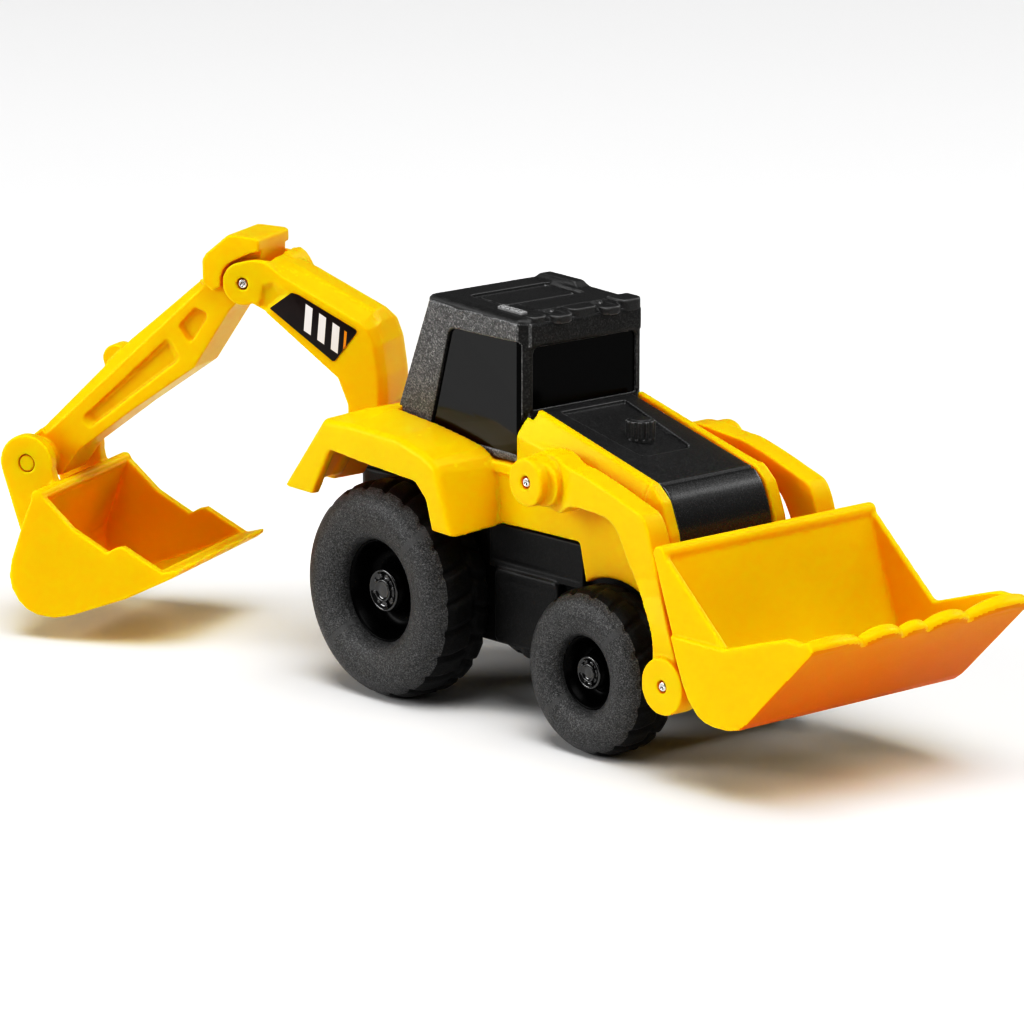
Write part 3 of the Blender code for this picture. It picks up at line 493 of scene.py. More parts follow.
def fender(s):
    F_MID, F_OUT, F_IN = dense(F_MID0), dense(F_OUT0), dense(F_IN0)
    rings = []
    for k in range(5, -1, -1):
        t = math.radians(90 * k / 5)
        f = 1 - math.cos(t)
        y = 18.3 + 1.2 * math.sin(t)
        rings.append([(a[0] + (b[0] - a[0]) * f * 1.25, s * y, a[1] + (b[1] - a[1]) * f * 1.25) for a, b in zip(F_MID, F_OUT)])
    for k in range(1, 7):
        t = k / 6
        rings.append([(a[0] + (b[0] - a[0]) * t, s * (18.3 + (11.35 - 18.3) * t), a[1] + (b[1] - a[1]) * t) for a, b in zip(F_MID, F_IN)])
    f = loft("fender", rings)
    cut(f, loft("t", [[(x, s * 18.0, z) for x, z in V_MID], [(x, s * 12.6, z) for x, z in V_IN]]),
        prism_y("t", [(-13.6, 22.0), (-12.1, 26.9), (-8.4, 33.5), (-0.9, 32.8), (9.4, 32.1), (11.6, 30.0),
                      (12.8, 26.1), (13.0, 22.0)], s * 21, s * 17.0),
        prism_y("t", [(-15.5, 20.0), (11.8, 20.0), (11.8, 31.8), (-12.2, 31.8), (-15.5, 27.55)], s * 12.9, s * 11.0))
    # trailing edge of the flap rises gently inboard
    cut(f, loft("t", [[(-20.0, s * 17.5, 24.0), (-20.0, s * 17.5, 26.9), (-14.0, s * 17.5, 26.9), (-14.0, s * 17.5, 24.0)],
                      [(-20.0, s * 10.0, 24.0), (-20.0, s * 10.0, 28.1), (-14.0, s * 10.0, 28.1), (-14.0, s * 10.0, 24.0)]]))
    return f

def side(s):
    wall = prism_y("w", [(11.0, 33.5), (14.0, 26.6), (33.4, 26.8), (34.8, 21.0), (50.4, 21.0), (50.4, 27.0), (49.9, 30.3),
                         (48.2, 34.6), (46.0, 36.55), (22.6, 42.85), (21.7, 42.3), (20.9, 39.6), (20.9, 35.2), (18.4, 35.2),
                         (11.0, 34.5)], s * 9.9, s * HOOD_OUT)
    rail = prism_y("t", rounded([(50.35, 23.0), (50.35, 27.0), (49.85, 30.3), (48.15, 34.55), (45.95, 36.5), (23.0, 42.7), (23.0, 40.2),
                                 (44.9, 34.5), (46.8, 32.9), (48.2, 29.9), (48.7, 23.0)], 1.6, 4, only={2, 3, 4}), s * HOOD_IN, s * 10.5)
    join(wall, rail)
    sh = loft("t", [[(19.0, s * 11.6, 39.3), (19.0, s * 9.0, 44.6), (19.0, s * 14.0, 44.6)],
                    [(45.6, s * 11.6, 33.9), (45.6, s * 9.2, 37.7), (45.6, s * 14.0, 37.7)]])
    nose = []
    for px, pz, nx, nz, d in ((44.0, 37.05, 0.25, 0.97, 2.5), (46.0, 36.5, 0.50, 0.87, 2.4), (48.2, 34.6, 0.85, 0.53, 2.0), (49.9, 30.3, 0.97, 0.25, 1.6),
                              (50.4, 27.0, 1.0, 0.05, 1.3), (50.4, 20.0, 1.0, 0.0, 1.2)):
        nose.append([(px - nx * d, s * 11.6, pz - nz * d), (px + nx * 0.8, s * 9.7, pz + nz * 0.8), (px + nx * 2.5, s * 14.0, pz + nz * 2.5)])
    cut(wall, sh, loft("t", nose), cyl("t", 'Y', (FRONT_X, FRONT_R), FRONT_R + 0.6, s * 9.0, s * 12.5, 128))
    join(wall, cyl("t", 'Y', (ARM_PX, ARM_PZ), 2.2, s * 10.6, s * 7.4, 40))
    cut(wall, cyl("t", 'Y', (ARM_PX, ARM_PZ), 0.95, s * 13.0, s * 8.2, 32))
    return wall

shell = fender(-1)
join(shell, fender(1))
deck_o = [(-18.2, 26.97), (-9.95, 37.92), (-3.2, 39.03), (-3.2, 33.0), (-4.7, 33.0), (-4.7, 37.5), (-9.3, 36.6), (-16.35, 26.97)]
join(shell, prism_y("t", deck_o, -12.1, 12.1))
cut(shell, prism_z("t", rounded([(-25.0, -6.4), (-10.9, -6.4), (-10.9, 6.4), (-25.0, 6.4)], 1.4), 20.0, 33.8))
join(shell, box("t", -8.6, 21.0, -12.0, 12.0, 33.7, 35.15))
join(shell, side(-1), side(1))
join(shell, box("t", 28.6, 31.4, -10.5, 10.5, 31.0, 33.0))
join(shell, box("t", 45.0, 47.2, -10.5, 10.5, 26.8, 28.6))
for sx in (-4.6, 14.0, 30.0):
    join(shell, cyl("t", 'Z', (sx, 0.0), 2.2, 11.7, 34.0 if sx < 20 else 32.6, 40))
    cut(shell, cyl("t", 'Z', (sx, 0.0), 0.75, 10.0, 19.0, 24))
soften(shell, 0.21, 9)
piece(shell, "shell_moulding", "vehicle", ["body_shell"], YEL)

# ------------------------------------------------------------------ chassis
CH_BOT, CH_TOP = 9.2, 26.3
chassis = prism_y("chassis", rounded([(-11.0, 13.0), (-8.0, CH_BOT), (44.0, CH_BOT), (48.6, 11.0), (48.6, 19.8),
                                      (48.0, CH_TOP), (-11.0, CH_TOP)], 1.2), -9.3, 9.3)
join(chassis,
     prism_y("t", rounded([(15.9, CH_BOT + 0.7), (28.6, CH_BOT + 0.7), (28.6, 20.2), (15.9, 20.2)], 1.0), -11.0, 11.0),
     box("t", 14.5, 33.3, -10.6, 10.6, 20.1, CH_TOP - 0.05))
# shallow panel line and ribs on the block behind the front wheels
for s in (-1, 1):
    cut(chassis, box("t", 15.0, 32.8, s * 10.35, s * 12.0, 21.0, 21.5),
        box("t", 16.6, 27.9, s * 10.75, s * 12.0, 18.6, 18.95))
tongue = [(-10.0, -3.8)] + [(SWING_X - 3.8 * math.sin(math.radians(t)), -3.8 * math.cos(math.radians(t)))
                            for t in range(0, 181, 6)] + [(-10.0, 3.8)]
join(chassis, prism_z("t", tongue, 20.6, 26.9))
cut(chassis,
    prism_y("t", [(-9.4, 14.0), (-7.0, 11.4), (43.6, 11.4), (47.0, 12.9), (47.0, 27.5), (-9.4, 27.5)], -7.7, 7.7),
    cyl("t", 'Y', (0.0, REAR_R), 1.08, -12, 12, 40),
    cyl("t", 'Y', (FRONT_X, FRONT_R), 1.08, -12, 12, 40),
    cyl("t", 'Z', (SWING_X, 0.0), 1.18, 19, 28, 40))
for sx in (-4.6, 14.0, 30.0):
    cut(chassis, cyl("t", 'Z', (sx, 0.0), 1.0, 7.0, 13.0, 32), cyl("t", 'Z', (sx, 0.0), 2.0, 7.0, 10.1, 40))
soften(chassis, 0.24, 4)
piece(chassis, "chassis_moulding", "vehicle", ["chassis_base"], CHASK)

# ------------------------------------------------------------------ cab
CAB_B = 35.35
def cab_ring(z, inset=0.0):
    t = (z - 39.0) / (55.4 - 39.0)
    xr = -3.9 + (2.8 + 3.9) * t + inset
    wf = 11.15 - inset
    x2 = 22.1 - inset
    c = max(0.15, 1.4 - 0.586 * inset)
    x1 = x2 - c
    wr = wf - 0.012 * (x1 - xr)
    return [(xr, -wr, z), (x1, -wf, z), (x2, -wf + c, z), (x2, wf - c, z), (x1, wf, z), (xr, wr, z)]

cab = loft("cab", [cab_ring(CAB_B), cab_ring(51.0), cab_ring(54.9)])
cut(cab, loft("t", [[(-8, -13, 55.3), (26, -13, 54.1), (26, 13, 54.1), (-8, 13, 55.3)],
                    [(-8, -13, 60), (26, -13, 60), (26, 13, 60), (-8, 13, 60)]]))
for s in (-1, 1):
    cut(cab, prism_y("t", [(20.78, 30.0), (24.0, 30.0), (24.0, 43.0), (22.55, 43.0), (21.55, 42.35), (20.78, 39.6)], s * 9.8, s * 14.0))
cut(cab, prism_y("t", [(21.9, 30.0), (24.0, 30.0), (24.0, 42.55), (21.9, 42.55)], -14.0, 14.0))
cut(cab, prism_y("t", [(-12.0, 30.0), (-3.1, 30.0), (-3.1, 39.3), (-12.0, 39.3)], -14.0, 14.0))
cut(cab, loft("t", [cab_ring(CAB_B - 2, 1.5), cab_ring(52.9, 1.5)]))
for s in (-1, 1):
    win = rounded([(2.55, 36.6), (21.0, 36.6), (21.0, 51.6), (6.75, 51.6)], 1.5, 6, only={3})
    cut(cab, prism_y("t", win, s * 14.0, s * 8.0))
fw = rounded([(-9.35, 42.4), (9.35, 42.4), (9.35, 50.9), (-9.35, 50.9)], 0.9, 5, only={2, 3})
cut(cab, loft("t", [[(19.0, y, z) for y, z in fw], [(26.0, y, z) for y, z in fw]]))
rw = rounded([(-7.6, 42.0), (7.6, 42.0), (7.6, 51.0), (-7.6, 51.0)], 1.2, 5)
cut(cab, loft("t", [[(-6.0, y, z) for y, z in rw], [(6.0, y, z) for y, z in rw]]))
# visor lip over the front window
join(cab, prism_y("t", rounded([(20.6, 50.9), (22.35, 50.9), (22.35, 54.2), (20.6, 54.3)], 0.5, 4, only={1, 2}), -9.9, 9.9))
soften(cab, 0.19, 6)
piece(cab, "cab_moulding", "vehicle", ["cab_frame"], CABK)
# the front-facing faces of the frame get a finer, darker copy of the grain: the darkening is painted shade on the faces
# turned away from the lamps
cab.data.materials.append(CAB_FRONT_SHADE)
for poly in cab.data.polygons:
    if poly.normal.x > 0.62:
        poly.material_index = 1

# glossy window block; its side planes run flush into the front corners
def glaze_ring(z, dz=0.0):
    t = (z - 39.0) / (55.4 - 39.0)
    xr = -3.9 + 6.7 * t + 0.75
    return [(xr, -10.15, z), (xr + 5.0, -10.45, z), (20.62, -11.10, z), (21.45, -10.35, z), (21.55, -9.2, z),
            (21.55, 9.2, z), (21.45, 10.35, z), (20.62, 11.10, z), (xr + 5.0, 10.45, z), (xr, 10.15, z)]
glaze = loft("glaze", [glaze_ring(36.2), glaze_ring(44.0), glaze_ring(52.6)])
for s in (-1, 1):
    cut(glaze, prism_y("t", [(20.76, 30.0), (24.0, 30.0), (24.0, 43.0), (22.4, 43.0), (21.5, 42.3), (20.76, 39.6)], s * 9.6, s * 14.0))
cut(glaze, loft("t", [[(x * 0.8 + 1.6, y * 0.8, 35.0) for x, y, z in glaze_ring(36.2)],
                      [(x * 0.8 + 2.6, y * 0.8, 51.0) for x, y, z in glaze_ring(51.0)]]))
edge_bevel(glaze, 0.12, 2, 25)
piece(glaze, "cab_windows", "vehicle", ["cab_glazing"], GLASSK, flat=True)
# the front pane gets a duller, darker copy of the window gloss: painted shade on the face turned away from the lamps
glaze.data.materials.append(GLASS_FRONT_SHADE)
for poly in glaze.data.polygons:
    if poly.normal.x > 0.6:
        poly.material_index = 1

# roof cap
def roof_z(x):
    return 55.8 - (x - 2.3) / 19.7
def roof_ring(dz, ins):
    ring = [(2.3 + ins, -10.7 + ins), (8.0, -11.0 + ins), (20.7, -11.1 + ins), (22.05 - ins, -9.8 + ins * 0.5),
            (22.05 - ins, 9.8 - ins * 0.5), (20.7, 11.1 - ins), (8.0, 11.0 - ins), (2.3 + ins, 10.7 - ins)]
    return [(x, y, roof_z(x) + dz) for x, y in ring]
roof = loft("roof", [roof_ring(-1.5, 0.05), roof_ring(-0.75, 0.0), roof_ring(-0.25, 0.30), roof_ring(0.0, 1.0)])
# skylight: channel round a sunk panel
def sky(x0, x1, h, d0, d1):
    o = rounded([(x0, -h), (x1, -h), (x1, h), (x0, h)], 1.0, 5)
    return loft("t", [[(x, y, roof_z(x) + d0) for x, y in o], [(x, y, roof_z(x) + d1) for x, y in o]])
cut(roof, sky(6.6, 14.0, 7.3, -0.55, 2.0))
join(roof, sky(7.5, 13.1, 6.4, -1.0, -0.20))
# raised plate ahead of the skylight, lamp pods on the front edge and the corner blocks
join(roof, loft("t", [[(x, y, roof_z(x) + d) for x, y in ((15.2, -5.9), (19.2, -5.9), (19.2, 6.2), (15.2, 6.2))] for d in (-0.6, 0.28)]))
def pod(y0, y1, x0, x1, dz0, dz1):
    o = rounded([(x0, y0), (x1, y0), (x1, y1), (x0, y1)], 1.1, 6, only={1, 2})
    return loft("t", [[(x, y, roof_z(x) + dz0) for x, y in o], [(x, y, roof_z(x) + dz1) for x, y in o]])
for yy in (-4.4, 4.4):
    join(roof, pod(yy - 1.75, yy + 1.75, 18.4, 22.9, -1.0, 0.10))
    cut(roof, pod(yy - 0.95, yy + 0.95, 19.4, 22.2, -0.25, 1.0))
join(roof, pod(-2.3, 2.3, 19.6, 22.2, -1.0, 0.42), pod(6.5, 10.3, 19.0, 22.35, -1.2, 0.55), pod(-9.6, -6.6, 19.9, 22.1, -1.0, 0.22))
join(roof, loft("t", [[(x, y, z) for x, y, z in ((3.0, 6.6, 55.2), (12.6, 7.4, 54.7), (12.6, 10.35, 54.7), (3.0, 10.0, 55.2))],
                      [(x, y, z) for x, y, z in ((4.4, 7.6, 56.45), (10.9, 8.0, 56.15), (10.9, 9.7, 56.15), (4.4, 9.5, 56.45))]]))
soften(roof, 0.16, 5)
piece(roof, "roof_cap", "vehicle", ["cab_roof"], ROOFK)
bar = loft("bar", [[(x, y, roof_z(x) + d) for x, y in rounded([(14.6 + i, -9.3 + i), (19.5 - i, -9.2 + i), (19.5 - i, -8.0 - i), (14.6 + i, -8.1 - i)], 0.3, 4)]
                   for d, i in ((-0.3, 0.0), (0.30, 0.0), (0.44, 0.16))])
for k in range(5):
    xx = 15.3 + k * 0.87
    cut(bar, box("t", xx - 0.09, xx + 0.09, -9.6, -7.5, roof_z(xx) + 0.27, 57))
edge_bevel(bar, 0.05, 2, 35)
piece(bar, "roof_light_bar", "vehicle", [], BARK)

# ------------------------------------------------------------------ hood insert and exhaust stub
HW = HOOD_IN - 0.15
hood_top = catmull([(45.2, 36.42), (46.4, 35.85), (47.5, 34.75), (48.4, 33.1), (49.15, 31.2), (49.6, 29.0), (49.85, 26.6), (49.95, 24.3)], 4)
hood = prism_y("hood", [(22.35, 42.35), (45.0, 36.38)] + hood_top + [(48.9, 24.3), (48.0, 29.8), (46.5, 33.1), (44.9, 34.3), (22.35, 40.2)], -HW, HW)
pk = rounded([(23.6, -5.8), (38.2, -4.4), (38.2, 4.4), (23.6, 5.8)], 1.3, 6, only={1, 2})
def hz(x):
    return 41.55 - (x - 23.6) * (3.85 / 14.6)
cut(hood, loft("t", [[(x, y, hz(x)) for x, y in pk], [(x, y, hz(x) + 4.0) for x, y in pk]]))
# rails beside the pocket end in a shallow step, cross groove ahead of the break line
cut(hood, prism_y("t", [(45.55, 36.0), (45.95, 35.9), (46.05, 36.6), (45.6, 36.7)], -HW - 1, HW + 1))
cut(hood, cyl("t", 'Z', (32.9, 0.0), 1.35, 36.0, 43.0, 32))
soften(hood, 0.15, 4)
piece(hood, "hood_panel", "vehicle", ["hood_insert"], HOODK)
# the curved nose is moulded smoother than the panel behind the break line
hood.data.materials.append(GRILLEK)
for poly in hood.data.polygons:
    if poly.center.x > (45.9 - OX) * MM:
        poly.material_index = 1
prof = []
stub = cyl("stub", 'Z', (32.9, 0.0), 1.98, 38.6, 41.65, 72)
join(stub, cyl("t", 'Z', (32.9, 0.0), 1.25, 37.4, 39.5, 48), cyl("t", 'Z', (32.9, 0.0), 1.7, 41.3, 41.85, 72, 1.45))
for k in range(12):
    t = 2 * math.pi * k / 12
    cut(stub, cyl("t", 'Z', (32.9 + 2.12 * math.cos(t), 2.12 * math.sin(t)), 0.34, 39.2, 44.0, 12))
soften(stub, 0.09, 5)
piece(stub, "exhaust_stub_moulding", "vehicle", ["exhaust_stub"], HOODK)

# ------------------------------------------------------------------ wheels
def tyre(name, cx, R, yo, yi, rim, s, lugs, depth, body, node):
    k = R / 15.0
    prof = catmull([(rim, yo - 2.3 * k), (rim + 0.25 * k, yo - 1.45 * k), (rim + 0.95 * k, yo - 0.75 * k), (rim + 2.0 * k, yo - 0.28 * k), (rim + 3.1 * k, yo - 0.05 * k),
                    (rim + 4.1 * k, yo), (rim + 5.1 * k, yo - 0.18 * k), (R - 1.9 * k, yo - 0.62 * k), (R - 1.1 * k, yo - 1.35 * k),
                    (R - 0.5 * k, yo - 2.3 * k), (R - 0.13 * k, yo - 3.35 * k), (R, yo - 4.2 * k)], 3)
    w0, w1 = yo - 4.2 * k, yi + 1.7 * k
    prof += [(R, w0 + (w1 - w0) * i / 10) for i in range(1, 10)]
    prof += catmull([(R, w1), (R - 0.35 * k, yi + 0.8 * k), (R - 1.3 * k, yi + 0.22 * k), (R - 3.0 * k, yi), (rim + 1.0, yi + 0.1), (rim, yi + 0.5)], 3)
    n = lugs * 14
    m = len(prof)
    mid = 0.5 * (w0 + w1)
    bm = bmesh.new()
    rings = []
    for i in range(n):
        t = 2 * math.pi * i / n
        ring = []
        for r, y in prof:
            rr = r
            if r > R - 1.3 * k:
                fade = smooth((r - (R - 1.3 * k)) / (0.9 * k))
                halfpitch = 0.0 if y > mid else 0.5
                skew = 0.16 * (y - mid) / (0.5 * (w0 - w1))
                ph = (i / 14.0 + halfpitch + skew * (1 if y > mid else -1)) % 1.0
                g = smooth(1 - abs(ph - 0.5) / 0.20) if abs(ph - 0.5) < 0.20 else 0.0
                mid_gap = smooth(1 - abs(y - mid) / (0.30 * k)) if abs(y - mid) < 0.30 * k else 0.0
                rr -= depth * fade * max(g, 0.55 * mid_gap)
            # fine mould line on the shoulder
            if abs(y - (yo - 3.0 * k)) < 0.12:
                rr += 0.05
            ring.append(bm.verts.new((cx + rr * math.cos(t), s * y, R + rr * math.sin(t))))
        rings.append(ring)
    for i in range(n):
        a, b = rings[i], rings[(i + 1) % n]
        for j in range(m):
            l = (j + 1) % m
            bm.faces.new((a[j], a[l], b[l], b[j]))
    ob = piece(new_object(name, bm), name, body, [node], TYREK)
    # the tread is moulded smoother than the grained side wall; its darker colour is painted shade
    ob.data.materials.append(TREAD_SMOOTH_SHADE)
    for poly in ob.data.polygons:
        j = poly.index % m
        if min(prof[j][0], prof[(j + 1) % m][0]) > R - 0.75 * k:
            poly.material_index = 1
    return ob

def turned(name, cx, cz, prof, s, n):
    """Open (radius, y) outline from axis to axis, turned about Y."""
    bm = bmesh.new()
    first = bm.verts.new((cx, s * prof[0][1], cz))
    last = bm.verts.new((cx, s * prof[-1][1], cz))
    mid = prof[1:-1]
    rings = []
    for i in range(n):
        t = 2 * math.pi * i / n
        rings.append([bm.verts.new((cx + r * math.cos(t), s * y, cz + r * math.sin(t))) for r, y in mid])
    for i in range(n):
        a, b = rings[i], rings[(i + 1) % n]
        for k in range(len(mid) - 1):
            bm.faces.new((a[k], a[k + 1], b[k + 1], b[k]))
        bm.faces.new((first, b[0], a[0]))
        bm.faces.new((last, a[-1], b[-1]))
    return new_object(name, bm)

def rim(name, cx, R, yo, yi, rr, hub, s, body, node):
    k = R / 15.0
    dish = yo - 6.0 * k
    wall = [(0.0, yi + 0.6), (rr - 0.5, yi + 0.6), (rr - 0.08, yi + 1.0), (rr - 0.08, yo - 2.6 * k), (rr - 0.16, yo - 2.55 * k), (rr - 0.3, yo - 2.65 * k),
            (rr - 0.55, yo - 3.0 * k), (rr - 1.0, yo - 4.4 * k), (rr - 1.5, yo - 5.3 * k), (rr - 2.0, dish + 0.15 * k), (rr - 2.6, dish), (hub + 1.0, dish + 0.1 * k),
            (hub + 0.45, dish + 0.5 * k), (hub + 0.2, yo - 4.6 * k), (hub, yo - 3.0 * k), (0.0, yo - 3.0 * k)]
    body_ob = turned(name, cx, R, wall, s, 96)
    piece(body_ob, name, body, [node], RIMK)
    f = yo - 2.9 * k
    capr = 0.46 * hub
    hp = [(0.0, f - 0.6), (hub - 0.1, f - 0.6)]
    hp += [(hub - 0.22 + 0.22 * math.cos(t), f + 0.05 + 0.22 * math.sin(t)) for t in [math.radians(-30 + 15 * i) for i in range(13)]]
    hp += [(hub - 0.62, f + 0.02), (hub - 0.70, f - 0.06), (capr + 0.34, f - 0.06), (capr + 0.26, f + 0.02)]
    hp += [(capr + 0.06 + 0.17 * math.cos(t), f + 0.30 + 0.17 * math.sin(t)) for t in [math.radians(10 + 20 * i) for i in range(8)]]
    hp += [(capr - 0.22, f + 0.22), (capr * 0.5, f + 0.30), (0.0, f + 0.34)]
    h = turned(name + "_hub", cx, R, hp, s, 72)
    ring_r = 0.5 * (capr + 0.3 + hub - 0.66)
    studs = []
    bm = bmesh.new()
    bm.from_mesh(h.data)
    for i in range(8):
        t = 2 * math.pi * (i + 0.35) / 8
        sx, sz = cx + ring_r * math.cos(t), R + ring_r * math.sin(t)
        sr = 0.105 * hub
        pts = [(sr, f - 0.2), (sr, f + 0.14), (sr * 0.86, f + 0.21), (sr * 0.5, f + 0.25)]
        prev = None
        for pr, py in pts:
            ring = [bm.verts.new((sx + pr * math.cos(2 * math.pi * j / 14), s * py, sz + pr * math.sin(2 * math.pi * j / 14))) for j in range(14)]
            if prev:
                for j in range(14):
                    bm.faces.new((prev[j], prev[(j + 1) % 14], ring[(j + 1) % 14], ring[j]))
            else:
                bm.faces.new(list(reversed(ring)))
            prev = ring
        bm.faces.new(prev)
    bmesh.ops.recalc_face_normals(bm, faces=bm.faces[:])
    bm.to_mesh(h.data)
    bm.free()
    piece(h, name + "_hub", body, [], HUBK)

for s, sn in ((-1, "right"), (1, "left")):
    tyre("rear_tyre_" + sn, 0.0, REAR_R, REAR_OUT, REAR_IN, 7.1, s, 22, 0.52, "rear_wheels", "tyre_rear_" + sn)
    tyre("front_tyre_" + sn, FRONT_X, FRONT_R, FRONT_OUT, FRONT_IN, 5.0, s, 18, 0.42, "front_wheels", "tyre_front_" + sn)
    rim("rear_rim_" + sn, 0.0, REAR_R, REAR_OUT, REAR_IN, 7.1, 2.95, s, "rear_wheels", "rim_rear_" + sn)
    rim("front_rim_" + sn, FRONT_X, FRONT_R, FRONT_OUT, FRONT_IN, 5.0, 2.25, s, "front_wheels", "rim_front_" + sn)

# ------------------------------------------------------------------ pins
def pin(name, cx, cz, y0, y1, s, body, node, rig=None, r=0.68):
    """Rivet pin with a rolled edge and a centre dimple at its outer end."""
    o = y1
    prof = [(0.0, y0), (r - 0.1, y0), (r, y0 + 0.1), (r, o - 0.22), (r - 0.05, o - 0.08), (r - 0.16, o), (r - 0.30, o - 0.02), (0.30, o - 0.08),
            (0.24, o - 0.20), (0.12, o - 0.30), (0.0, o - 0.34)]
    return piece(turned(name, cx, cz, prof, s, 40), name, body, [node] if node else [], STEEL, rig=rig)

# ------------------------------------------------------------------ loader arms
ARM_TOP = [(30.75, 39.2), (33.0, 39.15), (35.2, 39.0), (37.4, 38.95), (39.4, 38.85), (41.2, 38.75), (44.2, 38.0), (47.1, 37.15), (50.4, 36.05),
           (52.6, 35.35), (53.6, 34.9), (54.4, 33.9), (55.4, 31.6), (57.4, 25.0), (59.1, 19.3), (60.1, 16.9)]
ARM_BOT = [(30.75, 31.8), (33.0, 31.7), (35.2, 31.8), (37.2, 32.7), (39.2, 33.6), (41.2, 33.9), (44.2, 33.8), (46.6, 33.5), (47.9, 32.9),
           (48.9, 31.9), (49.7, 30.7), (50.5, 29.2), (51.6, 27.4), (53.3, 24.4), (55.3, 19.6), (55.6, 16.4)]

SETBACK = 2.2
TUBE_X, TUBE_Z = 53.5, 24.0
def arm_point(x, z):
    k = smooth((x - 31.5) / 9.5)
    d = SETBACK * k * smooth((z - 18.0) / 10.0)
    return x - 1.127 * d, z - 0.351 * d, 11.75 + (15.4 - 11.75) * k - d, 15.5 + (18.9 - 15.5) * k - d

def loader_arm(s, name):
    rings = []
    stations = []
    for t in (180, 170, 160, 150, 140, 130, 120, 112, 105):
        c, sn_ = math.cos(math.radians(t)), math.sin(math.radians(t))
        stations.append(((ARM_PX + 3.7 * c, ARM_PZ + 3.7 * max(sn_, 0.02)), (ARM_PX + 3.7 * c, ARM_PZ - 3.7 * max(sn_, 0.02))))
    top, bot = catmull(ARM_TOP, 3), catmull(ARM_BOT, 3)
    stations += list(zip(top, bot))
    for (tx, tz), (bx, bz) in stations:
        tx, tz, ti, to = arm_point(tx, tz)
        bx, bz, bi, bo = arm_point(bx, bz)
        rings.append([(tx, s * ti, tz), (tx, s * to, tz), (bx, s * bo, bz), (bx, s * bi, bz)])
    arm = loft(name, rings)
    join(arm, cyl("t", 'Y', (ARM_PX, ARM_PZ), 3.25, s * 12.5, s * 18.7, 72))
    # webs that blend the boss into the arm
    join(arm, cyl("t", 'Y', (32.4, 35.3), 3.0, s * 12.3, s * 17.2, 72))
    join(arm, cyl("t", 'Y', (BKT_PX, BKT_PZ), 3.8, s * 16.0, s * BKT_HALF, 72))
    cut(arm, cyl("t", 'Y', (ARM_PX, ARM_PZ), 0.86, s * 11.0, s * 20.0, 40),
        cyl("t", 'Y', (BKT_PX, BKT_PZ), 0.86, s * 14.0, s * 21.0, 40),
        cyl("t", 'Y', (TUBE_X, TUBE_Z), 1.44, s * 12.6, s * 15.3, 40))
    soften(arm, 0.16, 16)
    return arm

for s, sn in ((-1, "right"), (1, "left")):
    piece(loader_arm(s, "arm"), "loader_arm_moulding_" + sn, "loader_arms", ["loader_arm_" + sn], YEL)
    pin("lift_rivet_" + sn, ARM_PX, ARM_PZ, 8.4, 18.52, s, "vehicle", "arm_pin_" + sn)
    pin("tip_rivet_" + sn, BKT_PX, BKT_PZ, 13.9, 19.55, s, "loader_arms", "bucket_pin_" + sn)
tube = cyl("tube", 'Y', (TUBE_X, TUBE_Z), 1.4, -15.2, 15.2, 56)
edge_bevel(tube, 0.15, 2, 40)
piece(tube, "cross_tube", "loader_arms", ["loader_cross_tube"], YEL)

# ------------------------------------------------------------------ loader bucket
B_OUT = [(56.3, 31.1), (56.25, 30.0), (57.95, 25.2), (60.8, 17.5), (62.0, 14.6), (63.1, 12.65), (64.9, 10.8), (66.4, 10.15), (68.1, 9.95),
         (70.4, 10.0), (72.6, 10.5), (74.0, 11.5), (86.0, 23.3), (85.6, 23.9), (80.6, 23.95), (78.0, 23.2), (69.4, 20.5), (58.4, 30.3),
         (57.5, 31.3)]
B_CUT = [(58.15, 33.0), (58.0, 30.0), (59.5, 25.6), (62.2, 18.2), (63.4, 15.3), (64.4, 13.5), (65.7, 12.2), (67.0, 11.6), (68.3, 11.45),
         (70.2, 11.5), (71.8, 11.9), (73.0, 12.7), (84.6, 24.2), (86.5, 26.5), (86.5, 40.0), (58.15, 40.0)]
bucket = prism_y("bucket", B_OUT, -BKT_HALF, BKT_HALF)
cut(bucket, prism_y("t", B_CUT, -(BKT_HALF - 1.35), BKT_HALF - 1.35))
join(bucket, cyl("t", 'Y', (57.05, 30.65), 1.05, -(BKT_HALF - 0.05), BKT_HALF - 0.05, 40))
for s in (-1, 1):
    cut(bucket, prism_y("t", [(50.0, 20.5), (69.3, 20.5), (74.0, 22.3), (74.0, 40.0), (50.0, 40.0)], s * 19.25, s * 21.0))
    lug = prism_y("t", arc(BKT_PX, BKT_PZ, 3.1, 60, 300, 28) + [(64.9, 10.9), (63.9, 12.3), (61.8, 16.9)], s * 14.0, s * 15.8)
    join(bucket, lug)
    cut(bucket, cyl("t", 'Y', (BKT_PX, BKT_PZ), 0.98, s * 13.0, s * 16.2, 32))
